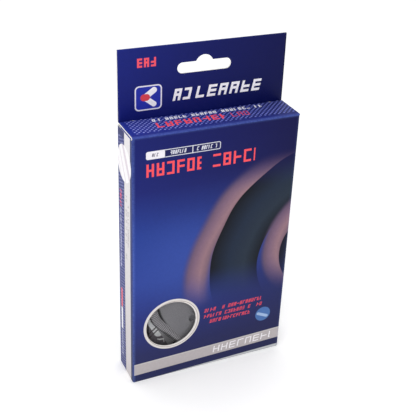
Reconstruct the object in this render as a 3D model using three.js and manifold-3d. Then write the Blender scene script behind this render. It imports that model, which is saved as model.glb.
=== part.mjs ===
// A boxed elbow brace: a folding carton with a hang tab and a round window, and the neoprene wrap packed inside.
// Millimetres, +Z up. The origin is the centre of the carton's base, and the window panel faces -Y.
import * as THREE from "three";
import { mergeVertices } from "three/addons/utils/BufferGeometryUtils.js";
import Module from "manifold-3d";

const wasm = await Module();
wasm.setup();

// The carton
const CARTON_WIDTH = 100;
const CARTON_DEPTH = 23.5;
const CARTON_HEIGHT = 164;
const BOARD = 0.6;
const CREASE_RADIUS = 0.9;
const SEAT_GAP = 0.3;

// The hang tab: two plies of board, folded at the top, with a hook slot through both
const TAB_HEIGHT = 40;
const TAB_THICKNESS = 2 * BOARD;
const TAB_PLY_BELOW_LID = 15;
const SLOT_WIDTH = 32;
const SLOT_BAR_HEIGHT = 6.1;
const SLOT_BELOW_TOP = 13.65;
const SLOT_BUMP_RADIUS = 5.4;
const SLOT_BUMP_RISE = 3.3;

// The window in the front panel
const WINDOW_RADIUS = 15.8;
const WINDOW_FROM_LEFT = 24.8;
const WINDOW_ABOVE_BASE = 38.2;

// The lid, and the flap that tucks in behind it
const LID_SIDE_CLEARANCE = 0.4;
const LID_REAR_CLEARANCE = 0.4;
const TUCK_LENGTH = 12;
const TUCK_LEAN_DEG = 10;
const TUCK_INSET = 2.5;
const TUCK_CORNER_RADIUS = 5;

// The two dust flaps under the lid
const DUST_FLAP_LENGTH = 18;
const DUST_FLAP_FRONT_INSET = 1.4;
const DUST_FLAP_REAR_INSET = 5.5;
const DUST_FLAP_TAPER_RUN = 11;
const DUST_FLAP_CORNER = 2.5;

// The brace: a neoprene wrap folded in three
const NEOPRENE = 3.5;
const BRACE_HEADROOM = 15.5;
const BRACE_SIDE_CLEARANCE = 1.2;
const BRACE_FRONT_CLEARANCE = 2.7;
const BRACE_BACK_CLEARANCE = 0.4;
const INNER_FLAP_SHARE = 0.86;
const VENT_RADIUS = 2.2;
const VENT_FROM_LEFT = 39.3;
const VENT_ABOVE_BASE = 37.3;
const BINDING_WIDTH = 5.5;
const BINDING_THICKNESS = 0.5;
const STRAP_WIDTH = 20;
const STRAP_LENGTH = 92;
const STRAP_THICKNESS = 1.4;
const STRAP_END_RADIUS = 9;
const LOWER_STRAP_FROM_LEFT = 24.3;
const LOWER_STRAP_ABOVE_BASE = 18.5;
const LOWER_STRAP_LEAN_DEG = 2;
const UPPER_STRAP_FROM_LEFT = 56;
const UPPER_STRAP_BELOW_TOP = 9.9;
const UPPER_STRAP_LEAN_DEG = -4;
const PATCH_WIDTH = 30;
const PATCH_HEIGHT = 44;
const PATCH_THICKNESS = 1.0;
const PATCH_CORNER_RADIUS = 4;
const UPPER_PATCH_SHARE = 0.7;
const LOWER_PATCH_SHARE = 0.3;

// The free edge of the wrap's front layer, from above its top to below its base: across is a share of the
// wrap's width from its left side, up a share of its height.
const FREE_EDGE = [
  { across: 0.035, up: 1.05 },
  { across: 0.035, up: 0.62 },
  { across: 0.06, up: 0.42 },
  { across: 0.11, up: 0.303 },
  { across: 0.146, up: 0.25 },
  { across: 0.225, up: 0.188 },
  { across: 0.324, up: 0.113 },
  { across: 0.475, up: 0.0 },
  { across: 0.54, up: -0.05 },
];

// Places that follow from the sizes
const LEFT = -CARTON_WIDTH / 2;
const RIGHT = CARTON_WIDTH / 2;
const FRONT = -CARTON_DEPTH / 2;
const BACK = CARTON_DEPTH / 2;
const LID_UNDERSIDE = CARTON_HEIGHT - BOARD;
const FRONT_WALL_TOP = LID_UNDERSIDE - SEAT_GAP;
const DUST_FLAP_TOP = LID_UNDERSIDE - SEAT_GAP;
const SIDE_WALL_TOP = DUST_FLAP_TOP - BOARD - SEAT_GAP;
const LID_REAR = BACK - TAB_THICKNESS - LID_REAR_CLEARANCE;
const FLOOR_TOP = BOARD;
const BRACE_BASE = FLOOR_TOP + SEAT_GAP;
const BRACE_TOP = LID_UNDERSIDE - BRACE_HEADROOM;
const BRACE_HEIGHT = BRACE_TOP - BRACE_BASE;
const BRACE_HALF_WIDTH = CARTON_WIDTH / 2 - BOARD - BRACE_SIDE_CLEARANCE;

// The wrap's three layers, front to back: the straps lie between the first two
const STRAP_GAP = BINDING_THICKNESS + SEAT_GAP + SEAT_GAP + STRAP_THICKNESS + SEAT_GAP;
const FRONT_LAYER = FRONT + BOARD + BRACE_FRONT_CLEARANCE + NEOPRENE / 2;
const MIDDLE_LAYER = FRONT_LAYER + NEOPRENE + STRAP_GAP;
const BACK_LAYER = BACK - BOARD - BRACE_BACK_CLEARANCE - PATCH_THICKNESS - SEAT_GAP - NEOPRENE / 2;

// The wrap's two folds, as half circles seen from above
const LEFT_FOLD = { y: (MIDDLE_LAYER + BACK_LAYER) / 2, radius: (BACK_LAYER - MIDDLE_LAYER) / 2 };
const RIGHT_FOLD = { y: (FRONT_LAYER + BACK_LAYER) / 2, radius: (BACK_LAYER - FRONT_LAYER) / 2 };
LEFT_FOLD.x = -BRACE_HALF_WIDTH + LEFT_FOLD.radius + NEOPRENE / 2;
RIGHT_FOLD.x = BRACE_HALF_WIDTH - RIGHT_FOLD.radius - NEOPRENE / 2;

// The straps' lower ends, and how far each leans: to the left for a positive angle
const STRAPS = [
  {
    name: "brace_strap_lower",
    x: LEFT + LOWER_STRAP_FROM_LEFT,
    end: LOWER_STRAP_ABOVE_BASE,
    leanDeg: LOWER_STRAP_LEAN_DEG,
  },
  {
    name: "brace_strap_upper",
    x: LEFT + UPPER_STRAP_FROM_LEFT,
    end: BRACE_TOP - UPPER_STRAP_BELOW_TOP - STRAP_LENGTH,
    leanDeg: UPPER_STRAP_LEAN_DEG,
  },
];
const LOOP_PATCHES = [
  { name: "loop_patch_upper", level: UPPER_PATCH_SHARE },
  { name: "loop_patch_lower", level: LOWER_PATCH_SHARE },
];

// A geometry as a manifold-3d solid
function solid(geometry) {
  const bare = geometry.clone();
  bare.deleteAttribute("normal");
  bare.deleteAttribute("uv");
  const merged = mergeVertices(bare, 1e-4);
  const mesh = new wasm.Mesh({
    numProp: 3,
    vertProperties: new Float32Array(merged.attributes.position.array),
    triVerts: new Uint32Array(merged.index.array),
  });
  return new wasm.Manifold(mesh);
}

// A manifold-3d solid as a geometry
function geometryOf(made) {
  const mesh = made.getMesh();
  const geometry = new THREE.BufferGeometry();
  geometry.setAttribute("position", new THREE.BufferAttribute(new Float32Array(mesh.vertProperties), 3));
  geometry.setIndex(new THREE.BufferAttribute(new Uint32Array(mesh.triVerts), 1));
  geometry.computeVertexNormals();
  return geometry;
}

function join(...pieces) {
  return pieces.reduce((sum, piece) => sum.add(piece));
}

// A box between two corners
function block([x0, y0, z0], [x1, y1, z1]) {
  const geometry = new THREE.BoxGeometry(x1 - x0, y1 - y0, z1 - z0);
  geometry.translate((x0 + x1) / 2, (y0 + y1) / 2, (z0 + z1) / 2);
  return solid(geometry);
}

// A shape drawn in X and Y, standing between two heights
function upright(shape, z0, z1, curveSegments = 8) {
  const geometry = new THREE.ExtrudeGeometry(shape, { depth: z1 - z0, bevelEnabled: false, curveSegments });
  geometry.translate(0, 0, z0);
  return solid(geometry);
}

// A shape drawn in X and Z, running from y0 back to y1
function facing(shape, y0, y1, curveSegments = 8) {
  const geometry = new THREE.ExtrudeGeometry(shape, { depth: y1 - y0, bevelEnabled: false, curveSegments });
  geometry.rotateX(Math.PI / 2);
  geometry.translate(0, y1, 0);
  return solid(geometry);
}

function roundedRectangle(x0, y0, x1, y1, radius, Kind = THREE.Shape) {
  const outline = new Kind();
  outline.moveTo(x0 + radius, y0);
  outline.lineTo(x1 - radius, y0);
  outline.absarc(x1 - radius, y0 + radius, radius, -Math.PI / 2, 0, false);
  outline.lineTo(x1, y1 - radius);
  outline.absarc(x1 - radius, y1 - radius, radius, 0, Math.PI / 2, false);
  outline.lineTo(x0 + radius, y1);
  outline.absarc(x0 + radius, y1 - radius, radius, Math.PI / 2, Math.PI, false);
  outline.lineTo(x0, y0 + radius);
  outline.absarc(x0 + radius, y0 + radius, radius, Math.PI, Math.PI * 1.5, false);
  return outline;
}

// The hook slot: a bar with round ends and a low arch over its middle
function hookSlot() {
  const middle = CARTON_HEIGHT + TAB_HEIGHT - SLOT_BELOW_TOP;
  const end = SLOT_BAR_HEIGHT / 2;
  const reach = SLOT_WIDTH / 2 - end;
  const top = middle + end;
  const archCentre = top + SLOT_BUMP_RISE - SLOT_BUMP_RADIUS;
  const archAngle = Math.asin((top - archCentre) / SLOT_BUMP_RADIUS);
  const slot = new THREE.Shape();
  slot.moveTo(-reach, middle - end);
  slot.lineTo(reach, middle - end);
  slot.absarc(reach, middle, end, -Math.PI / 2, Math.PI / 2, false);
  slot.absarc(0, archCentre, SLOT_BUMP_RADIUS, archAngle, Math.PI - archAngle, false);
  slot.absarc(-reach, middle, end, Math.PI / 2, Math.PI * 1.5, false);
  return slot;
}

// The folded carton: four walls, floor and hang tab are one board
function cartonSleeve() {
  const ring = roundedRectangle(LEFT, FRONT, RIGHT, BACK, CREASE_RADIUS);
  const inner = [LEFT + BOARD, FRONT + BOARD, RIGHT - BOARD, BACK - BOARD];
  ring.holes.push(roundedRectangle(...inner, CREASE_RADIUS - BOARD, THREE.Path));
  const walls = upright(ring, 0, FRONT_WALL_TOP, 4);
  const floor = upright(roundedRectangle(LEFT, FRONT, RIGHT, BACK, CREASE_RADIUS), 0, FLOOR_TOP, 4);
  const tabTop = CARTON_HEIGHT + TAB_HEIGHT;
  const tab = block([LEFT, BACK - BOARD, SIDE_WALL_TOP - TAB_PLY_BELOW_LID], [RIGHT, BACK, tabTop]);
  const foldedPly = block(
    [LEFT + BOARD, BACK - TAB_THICKNESS, LID_UNDERSIDE - TAB_PLY_BELOW_LID],
    [RIGHT - BOARD, BACK - BOARD, tabTop],
  );
  // The side walls stop lower than the front wall, under the dust flaps.
  const sideTrims = [LEFT, RIGHT - BOARD].map((x) =>
    block([x - 1, FRONT + BOARD, SIDE_WALL_TOP], [x + BOARD + 1, BACK - BOARD, CARTON_HEIGHT]),
  );
  const window = new THREE.CylinderGeometry(WINDOW_RADIUS, WINDOW_RADIUS, 4 * BOARD, 64);
  window.translate(LEFT + WINDOW_FROM_LEFT, FRONT + BOARD / 2, WINDOW_ABOVE_BASE);
  const slot = facing(hookSlot(), BACK - TAB_THICKNESS - 1, BACK + 1);
  let sleeve = join(walls, floor, tab);
  sideTrims.forEach((trim) => {
    sleeve = sleeve.subtract(trim);
  });
  return sleeve.add(foldedPly).subtract(solid(window)).subtract(slot);
}

// The lid panel, which turns on the crease along the front wall's top
function cartonLid() {
  const x0 = LEFT + LID_SIDE_CLEARANCE;
  const x1 = RIGHT - LID_SIDE_CLEARANCE;
  return block([x0, FRONT, LID_UNDERSIDE], [x1, LID_REAR, CARTON_HEIGHT]);
}

// The tuck flap, which hangs from the lid's rear edge and leans forward as it goes down
function tuckFlap() {
  const lean = THREE.MathUtils.degToRad(TUCK_LEAN_DEG);
  const flap = new THREE.Shape();
  const half = CARTON_WIDTH / 2 - TUCK_INSET;
  const radius = TUCK_CORNER_RADIUS;
  flap.moveTo(-half, 0);
  flap.lineTo(-half, radius - TUCK_LENGTH);
  flap.absarc(radius - half, radius - TUCK_LENGTH, radius, Math.PI, Math.PI * 1.5);
  flap.lineTo(half - radius, -TUCK_LENGTH);
  flap.absarc(half - radius, radius - TUCK_LENGTH, radius, -Math.PI / 2, 0);
  flap.lineTo(half, 0);
  const geometry = new THREE.ExtrudeGeometry(flap, { depth: BOARD, bevelEnabled: false, curveSegments: 6 });
  geometry.rotateX(Math.PI / 2 - lean);
  geometry.translate(0, LID_REAR, LID_UNDERSIDE - SEAT_GAP - BOARD * Math.sin(lean));
  return solid(geometry);
}

// A dust flap, folded in from a side wall's top. side is -1 for the left one and 1 for the right one. Its front
// edge slants back from the crease, so that it clears the lid as both open.
function dustFlap(side) {
  const outer = side * (CARTON_WIDTH / 2);
  const front = FRONT + DUST_FLAP_FRONT_INSET;
  const rear = BACK - DUST_FLAP_REAR_INSET;
  const tip = outer - side * DUST_FLAP_LENGTH;
  const outline = [
    [outer, rear],
    [tip + side * DUST_FLAP_CORNER, rear],
    [tip, rear - DUST_FLAP_CORNER],
    [tip, front + DUST_FLAP_TAPER_RUN],
    [outer - side * 2 * BOARD, front],
    [outer, front],
  ].map(([x, y]) => new THREE.Vector2(x, y));
  if (THREE.ShapeUtils.isClockWise(outline)) outline.reverse();
  return upright(new THREE.Shape(outline), DUST_FLAP_TOP - BOARD, DUST_FLAP_TOP);
}

// The free edge as points in X and Z, smooth through the table's rows
function freeEdge(steps = 40) {
  const rows = FREE_EDGE.map(({ across, up }) => {
    const x = -BRACE_HALF_WIDTH + across * 2 * BRACE_HALF_WIDTH;
    return new THREE.Vector2(x, BRACE_BASE + up * BRACE_HEIGHT);
  });
  return new THREE.SplineCurve(rows).getPoints(steps);
}

// The free edge moved sideways: positive distances lie on the cloth
function edgeOffset(distance) {
  const points = freeEdge();
  return points.map((point, i) => {
    const ahead = points[Math.min(i + 1, points.length - 1)];
    const behind = points[Math.max(i - 1, 0)];
    const along = ahead.clone().sub(behind).normalize();
    return new THREE.Vector2(point.x - along.y * distance, point.y + along.x * distance);
  });
}

// A flat strip between two offsets of the free edge, kept within the wrap's height
function edgeStrip(outside, inside, y0, y1) {
  const shape = new THREE.Shape([...edgeOffset(outside), ...edgeOffset(inside).reverse()]);
  const reach = CARTON_WIDTH;
  return facing(shape, y0, y1).intersect(block([-reach, y0 - 1, BRACE_BASE], [reach, y1 + 1, BRACE_TOP]));
}

// The wrap: one sheet folded in three, its section drawn from above
function braceWrap() {
  const half = NEOPRENE / 2;
  const flapEnd = -BRACE_HALF_WIDTH + INNER_FLAP_SHARE * 2 * BRACE_HALF_WIDTH - NEOPRENE;
  const section = new THREE.Shape();
  section.moveTo(-BRACE_HALF_WIDTH, FRONT_LAYER - half);
  section.lineTo(RIGHT_FOLD.x, FRONT_LAYER - half);
  section.absarc(RIGHT_FOLD.x, RIGHT_FOLD.y, RIGHT_FOLD.radius + half, -Math.PI / 2, Math.PI / 2, false);
  section.lineTo(LEFT_FOLD.x, BACK_LAYER + half);
  section.absarc(LEFT_FOLD.x, LEFT_FOLD.y, LEFT_FOLD.radius + half, Math.PI / 2, Math.PI * 1.5, false);
  section.lineTo(flapEnd, MIDDLE_LAYER - half);
  section.absarc(flapEnd, MIDDLE_LAYER, half, -Math.PI / 2, Math.PI / 2, false);
  section.lineTo(LEFT_FOLD.x, MIDDLE_LAYER + half);
  section.absarc(LEFT_FOLD.x, LEFT_FOLD.y, LEFT_FOLD.radius - half, -Math.PI / 2, Math.PI / 2, true);
  section.lineTo(RIGHT_FOLD.x, BACK_LAYER - half);
  section.absarc(RIGHT_FOLD.x, RIGHT_FOLD.y, RIGHT_FOLD.radius - half, Math.PI / 2, -Math.PI / 2, true);
  section.lineTo(-BRACE_HALF_WIDTH, FRONT_LAYER + half);
  const folded = upright(section, BRACE_BASE, BRACE_TOP, 12);
  // What lies outside the free edge is cut from the front layer alone.
  const outside = new THREE.Shape([
    ...edgeOffset(0),
    new THREE.Vector2(-CARTON_WIDTH, BRACE_BASE - NEOPRENE),
    new THREE.Vector2(-CARTON_WIDTH, BRACE_TOP + NEOPRENE),
  ]);
  const cutAway = facing(outside, FRONT_LAYER - NEOPRENE, FRONT_LAYER + half + STRAP_GAP / 2);
  const vent = new THREE.CylinderGeometry(VENT_RADIUS, VENT_RADIUS, NEOPRENE + STRAP_GAP, 24);
  vent.translate(LEFT + VENT_FROM_LEFT, FRONT_LAYER, VENT_ABOVE_BASE);
  return folded.subtract(cutAway).subtract(solid(vent));
}

// The tape that binds the free edge, a channel closed over the cloth
function braceBinding() {
  const slotHalf = NEOPRENE / 2 + SEAT_GAP;
  const half = slotHalf + BINDING_THICKNESS;
  const tape = edgeStrip(-SEAT_GAP - BINDING_THICKNESS, BINDING_WIDTH, FRONT_LAYER - half, FRONT_LAYER + half);
  const room = edgeStrip(-SEAT_GAP, BINDING_WIDTH + 1, FRONT_LAYER - slotHalf, FRONT_LAYER + slotHalf);
  return tape.subtract(room);
}

// A hook strap, lying on the middle layer
function braceStrap({ x, end, leanDeg }) {
  const half = STRAP_WIDTH / 2;
  const strip = roundedRectangle(-half, 0, half, STRAP_LENGTH, STRAP_END_RADIUS);
  const back = MIDDLE_LAYER - NEOPRENE / 2 - SEAT_GAP;
  const options = { depth: STRAP_THICKNESS, bevelEnabled: false, curveSegments: 6 };
  const geometry = new THREE.ExtrudeGeometry(strip, options);
  geometry.rotateZ(THREE.MathUtils.degToRad(leanDeg));
  geometry.rotateX(Math.PI / 2);
  geometry.translate(x, back, end);
  return solid(geometry);
}

// A patch of loop pile on the back layer's outer side. level is its middle, as a share of the wrap's height.
function loopPatch({ level }) {
  const middle = BRACE_BASE + level * BRACE_HEIGHT;
  const shape = roundedRectangle(
    -PATCH_WIDTH / 2,
    middle - PATCH_HEIGHT / 2,
    PATCH_WIDTH / 2,
    middle + PATCH_HEIGHT / 2,
    PATCH_CORNER_RADIUS,
  );
  const face = BACK_LAYER + NEOPRENE / 2 + SEAT_GAP;
  return facing(shape, face, face + PATCH_THICKNESS, 4);
}

const printedBoard = new THREE.MeshStandardMaterial({ color: 0x2a3680, roughness: 0.38, metalness: 0 });
const jersey = new THREE.MeshStandardMaterial({ color: 0x6b6a6d, roughness: 0.92, metalness: 0 });
const bindingTape = new THREE.MeshStandardMaterial({ color: 0x2e2c30, roughness: 0.85, metalness: 0 });
const hookTape = new THREE.MeshStandardMaterial({ color: 0xa2a6ab, roughness: 0.6, metalness: 0 });
const loopPile = new THREE.MeshStandardMaterial({ color: 0x20293c, roughness: 0.95, metalness: 0 });

function piece(name, made, material) {
  const mesh = new THREE.Mesh(geometryOf(made), material);
  mesh.name = name;
  return mesh;
}

const carton = new THREE.Group();
carton.add(
  piece("carton_sleeve", cartonSleeve(), printedBoard),
  piece("carton_lid", cartonLid(), printedBoard),
  piece("tuck_flap", tuckFlap(), printedBoard),
  piece("dust_flap_left", dustFlap(-1), printedBoard),
  piece("dust_flap_right", dustFlap(1), printedBoard),
);

const brace = new THREE.Group();
brace.add(
  piece("brace_wrap", braceWrap(), jersey),
  piece("brace_binding", braceBinding(), bindingTape),
  ...STRAPS.map((strap) => piece(strap.name, braceStrap(strap), hookTape)),
  ...LOOP_PATCHES.map((patch) => piece(patch.name, loopPatch(patch), loopPile)),
);

const boxedBrace = new THREE.Group();
boxedBrace.add(carton, brace);

export default boxedBrace;
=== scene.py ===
"""Dresses a boxed elbow brace: a printed folding carton with a hang tab and a round window, and the
neoprene wrap that is folded inside it. Sizes are in millimetres until a mesh is made, and come from the
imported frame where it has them."""

import math
from functools import partial

import bmesh
import bpy
import numpy as np
from mathutils import Matrix, Vector


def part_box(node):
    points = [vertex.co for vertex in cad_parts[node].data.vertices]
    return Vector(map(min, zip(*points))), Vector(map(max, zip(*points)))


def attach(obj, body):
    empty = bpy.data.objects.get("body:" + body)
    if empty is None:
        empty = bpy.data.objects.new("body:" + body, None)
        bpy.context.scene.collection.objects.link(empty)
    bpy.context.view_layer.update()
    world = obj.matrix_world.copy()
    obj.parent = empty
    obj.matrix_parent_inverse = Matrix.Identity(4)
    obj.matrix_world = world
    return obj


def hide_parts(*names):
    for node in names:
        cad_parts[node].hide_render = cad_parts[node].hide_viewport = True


bl_info = {
    "name": "Boxed Elbow Brace",
    "version": (1, 0, 0),
    "blender": (4, 5, 0),
    "location": "View3D > Sidebar > Boxed Brace",
    "description": "Dresses a windowed hang-tab carton and the neoprene wrap folded inside it",
    "category": "Object",
}

MM = 0.001
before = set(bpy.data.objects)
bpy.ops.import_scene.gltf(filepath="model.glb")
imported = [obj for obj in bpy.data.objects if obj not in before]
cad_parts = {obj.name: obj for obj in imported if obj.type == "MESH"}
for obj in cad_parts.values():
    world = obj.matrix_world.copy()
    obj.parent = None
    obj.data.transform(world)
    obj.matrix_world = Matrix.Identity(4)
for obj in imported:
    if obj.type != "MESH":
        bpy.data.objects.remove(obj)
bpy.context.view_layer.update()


def corners(node):
    """A CAD node's lowest and highest corners in millimetres."""
    low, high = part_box(node)
    return np.array(low) / MM, np.array(high) / MM


# Places read from the frame
SLEEVE_LOW, SLEEVE_HIGH = corners("carton_sleeve")
LID_LOW, LID_HIGH = corners("carton_lid")
TUCK_LOW, TUCK_HIGH = corners("tuck_flap")
DUST_LOW, DUST_HIGH = corners("dust_flap_left")
WRAP_LOW, WRAP_HIGH = corners("brace_wrap")
LEFT, FRONT, BASE = SLEEVE_LOW
RIGHT, BACK, TAB_TOP = SLEEVE_HIGH
WIDTH, DEPTH = RIGHT - LEFT, BACK - FRONT
LID_UNDERSIDE, LID_TOP, LID_REAR = LID_LOW[2], LID_HIGH[2], LID_HIGH[1]
BOARD = LID_TOP - LID_UNDERSIDE

# How thick the scene draws the board, a little under the solid's, so that two plies stay apart
BOARD_DRAWN = 0.97 * BOARD

# Small allowances: points this near are one point, the gap between seated pieces, that between two
# surfaces of one board, and how much thicker the lid's board is where its cut edge has swollen
NO_LENGTH = 0.0005
SEAT_GAP = 0.3
EDGE_GAP = 0.05
LID_SWELL = 0.2

# The walls: their tops, the roundness of their feet and of the board's edges, the degrees from which an
# edge is rounded, and how much the side walls, the back and the top of the tab bow for each millimetre
# that the front does
SIDE_WALL_TOP = DUST_LOW[2] - SEAT_GAP
FRONT_WALL_TOP = LID_UNDERSIDE - SEAT_GAP
FOOT_PER_CREASE = 0.7
EDGE_ROUND = 0.07
EDGE_ANGLE = 55
SIDE_BOW = 0.35
BACK_BOW = 0.4
TAB_CURL = 0.5

# The hang tab's folded ply and its hook slot
TAB_PLY_BELOW_LID = 15
SLOT_WIDTH = 32
SLOT_BAR_HEIGHT = 6.1
SLOT_BELOW_TOP = 13.65
SLOT_BUMP_RADIUS = 5.4
SLOT_BUMP_RISE = 3.3

# The window, and the printed ring round it, which sits a little to its right as the die cut is off register
WINDOW_RADIUS = 15.9
WINDOW_RING_RADIUS = 18.0
WINDOW_X = LEFT + 24.4
WINDOW_Z = 38.4
RING_SHIFT = 0.3
RING_DROP = 0.2

# The wrap's layers, and the vent in the front one, whose floor is a skin of this thickness
NEOPRENE = 3.5
BRACE_FRONT_CLEARANCE = 2.7
BRACE_BACK_CLEARANCE = 0.4
INNER_FLAP_SHARE = 0.86
VENT_RADIUS = 2.2
VENT_X = LEFT + 39.2
VENT_Z = 36.8
VENT_FLOOR = 1.0

# What is sewn to the wrap. A strap's pull end reaches further down than its node by STRAP_TAIL.
BINDING_WIDTH = 5.2
BINDING_THICKNESS = 0.5
STRAP_LENGTH = 92
STRAP_TAIL = 3.5
STRAP_WIDTH = 20
STRAP_THICKNESS = 1.4
STRAP_END_RADIUS = 9
PATCH_THICKNESS = 1.0

# The pull end's free side curls forward: how far, and over what length of the strap
CURL_DEPTH = 1.7
CURL_LENGTH = 15

# Where the layers' middles lie from front to back
STRAP_GAP = BINDING_THICKNESS + STRAP_THICKNESS + 3 * SEAT_GAP
FRONT_LAYER = FRONT + BOARD + BRACE_FRONT_CLEARANCE + NEOPRENE / 2
MIDDLE_LAYER = FRONT_LAYER + NEOPRENE + STRAP_GAP
BACK_LAYER = BACK - BOARD - BRACE_BACK_CLEARANCE - PATCH_THICKNESS - SEAT_GAP - NEOPRENE / 2

# The free edge of the wrap's front layer, from above its top to below its base, as shares of its width
# and height
FREE_EDGE = np.array(
    [
        (0.035, 1.05),
        (0.035, 0.62),
        (0.06, 0.42),
        (0.104, 0.303),
        (0.139, 0.25),
        (0.218, 0.188),
        (0.32, 0.113),
        (0.475, 0.0),
        (0.54, -0.05),
    ]
)

# Long waves of the front layer: a depth, and how often each runs in a millimetre of X and of Z
WAVES = ((0.22, 1 / 67, 1 / 91), (0.16, -1 / 78, 1 / 41))

# The swell behind the window: its depth and breadth, and its place right of the window's middle and
# above it
SWELL_DEPTH, SWELL_BREADTH = 0.9, 24
SWELL_RIGHT, SWELL_UP = 6, 4

# The pucker round the vent: its depth and breadth, and its distance from the vent's rim
PUCKER_DEPTH, PUCKER_BREADTH = 0.35, 0.8
PUCKER_AWAY = 1.1

# The crease beside the binding: its breadth, and its distance from the binding. Above CREASE_FOOT it
# deepens over CREASE_FADE, from a faint share of its depth.
CREASE_BREADTH, CREASE_AWAY = 0.85, 0.2
CREASE_FOOT, CREASE_FADE = 32, 10
CREASE_FAINT = 0.08

# A cutter reaches so far to each side of the board, and a printed rim so far back from the front
CUT_REACH = 4
RIM_DEPTH = 0.75

# Strokes of painted shade in the crease beside the binding, each its start, its end and its width. They are
# measured across from the left wall and down from the base, so that a place above the base is negative.
CREASE_SHADE = (
    ((16.4, -50.0), (17.9, -45.2), 1.9),
    ((17.9, -45.2), (19.6, -40.8), 1.7),
    ((19.6, -40.8), (21.4, -37.4), 1.2),
    ((21.4, -37.4), (22.6, -35.6), 0.6),
)

# The same for a painted shadow along the binding's edge, where it turns under towards the base
TAPE_EDGE_SHADOW = (
    ((15.0, -37.6), (17.7, -33.5), 1.1),
    ((17.7, -33.5), (21.3, -30.4), 1.7),
    ((21.3, -30.4), (23.8, -28.0), 1.9),
    ((23.8, -28.0), (25.8, -25.5), 2.0),
    ((25.8, -25.5), (29.0, -22.0), 2.1),
)

# What lies on a strap, across and up from its lower end: the hook tape leans, so its edges are where
# HOOK_LEAN times the place across, plus the place up, has these values. The sewn lines slope the
# other way.
HOOK_LEAN = 2.1
HOOK_EDGES = (-4.6, 2.8)
SEAM_SLOPE = 0.75
SEAMS = (14.4, 17.4)

# Painted highlight strokes on the strap's curled edge
CURL_HIGHLIGHTS = (
    ((-4.4, 4.6), (-3.1, 3.9), 0.7),
    ((-3.1, 3.9), (-0.6, 3.4), 1.0),
    ((-0.5, 3.2), (-0.3, 1.0), 0.5),
)

# The straps' lower ends, and how many degrees each leans to the left
STRAPS = {
    "brace_strap_lower": {"x": LEFT + 23.4, "lean": 2},
    "brace_strap_upper": {"x": LEFT + 56, "lean": -4},
}


def linear(code):
    """An sRGB hex colour as linear red, green, blue and alpha."""
    parts = np.array([int(code[i : i + 2], 16) / 255 for i in (1, 3, 5)])
    curved = np.where(parts <= 0.04045, parts / 12.92, ((parts + 0.055) / 1.055) ** 2.4)
    return (*curved.tolist(), 1.0)


def add_node(tree, kind, *values, sockets=None, stops=None, **settings):
    """Adds one node. The kind may name an operation after a space. Values go to the node's sockets in
    order and sockets by name, a colour as sRGB hex. Stops are a ramp's, and the rest are the node's own
    settings."""
    kind, _, operation = kind.partition(" ")
    node = tree.nodes.new("ShaderNode" + kind)
    if operation:
        node.operation = operation
    for name, value in settings.items():
        setattr(node, name, value)
    for i, (at, code) in enumerate(stops or ()):
        element = node.color_ramp.elements[i] if i < 2 else node.color_ramp.elements.new(at)
        element.position = at
        element.color = linear(code)
    pairs = list(zip(node.inputs, values))
    pairs += [(node.inputs[name], value) for name, value in (sockets or {}).items()]
    for socket, value in pairs:
        value = value.outputs[0] if isinstance(value, bpy.types.Node) else value
        if isinstance(value, bpy.types.NodeSocket):
            tree.links.new(value, socket)
        elif value is not None:
            socket.default_value = linear(value) if isinstance(value, str) else value
    return node


def new_material(name):
    """A material with an empty tree, add_node for that tree, and the object's coordinates in
    millimetres."""
    material = bpy.data.materials.new(name)
    material.use_nodes = True
    material.node_tree.nodes.clear()
    add = partial(add_node, material.node_tree)
    coordinates = add("TexCoord").outputs["Object"]
    return material, add, add("VectorMath MULTIPLY", coordinates, (1 / MM,) * 3)


def finish_material(add, colour, roughness, bump=None, bump_depth=0.1, **sockets):
    """Closes a material with a Principled surface. The bump is a height from 0 to 1, worth bump_depth
    millimetres."""
    normal = None
    if bump is not None:
        normal = add("Bump", sockets={"Strength": 1.0, "Distance": bump_depth * MM, "Height": bump})
    named = {"Base Color": colour, "Roughness": roughness, "Normal": normal}
    named.update({name.replace("_", " "): value for name, value in sockets.items()})
    add("OutputMaterial", add("BsdfPrincipled", sockets=named))


# Printed shapes: each function gives a mask, 1 inside its shape and 0 outside it, with a soft edge


def panel_place(add, place, across, down, across_from, down_from, across_sign=1):
    """A panel's own coordinates: millimetres across from one edge and down from the top."""
    parts = add("SeparateXYZ", place)
    pair = add("CombineXYZ", parts.outputs[across], parts.outputs[down], 0.0)
    offset = (-across_sign * across_from, down_from, 0)
    return add("VectorMath MULTIPLY_ADD", pair, (across_sign, -1, 0), offset)


def printed_plate(add, place, left, top, right, bottom, radius=0.5, soft=0.12):
    """A rounded rectangle: the distance to its inset box, compared with its corner radius."""
    middle = ((left + right) / 2, (top + bottom) / 2, 0)
    inset = ((right - left) / 2 - radius, (bottom - top) / 2 - radius, 0)
    away = add("VectorMath SUBTRACT", place, middle)
    away = add("VectorMath ABSOLUTE", away)
    away = add("VectorMath SUBTRACT", away, inset)
    away = add("VectorMath MAXIMUM", away, (0, 0, 0))
    distance = add("VectorMath LENGTH", away).outputs["Value"]
    return add("MapRange", distance, radius - soft, radius + soft, 1.0, 0.0)


def printed_disc(add, place, across, down, radius, soft=0.12):
    """A disc: the distance to its centre, compared with its radius."""
    distance = add("VectorMath DISTANCE", place, (across, down, 0)).outputs["Value"]
    return add("MapRange", distance, radius - soft, radius + soft, 1.0, 0.0)


def printed_stroke(add, place, start, end, width, soft=0.1):
    """A stroke with round ends: the distance to the nearest point of a line, compared with half its
    width."""
    run = (end[0] - start[0], end[1] - start[1], 0)
    length = math.hypot(*run)
    away = add("VectorMath SUBTRACT", place, (*start, 0))
    along = add("VectorMath DOT_PRODUCT", away, run).outputs["Value"]
    along = add("MapRange", along, 0.0, length**2, 0.0, 1.0)
    nearest = add("VectorMath MULTIPLY_ADD", along, run, (*start, 0))
    distance = add("VectorMath DISTANCE", place, nearest).outputs["Value"]
    return add("MapRange", distance, width / 2 - soft, width / 2 + soft, 1.0, 0.0)


# How much of a step of the pitch a mark fills
MARK_SHARE = 0.74


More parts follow.
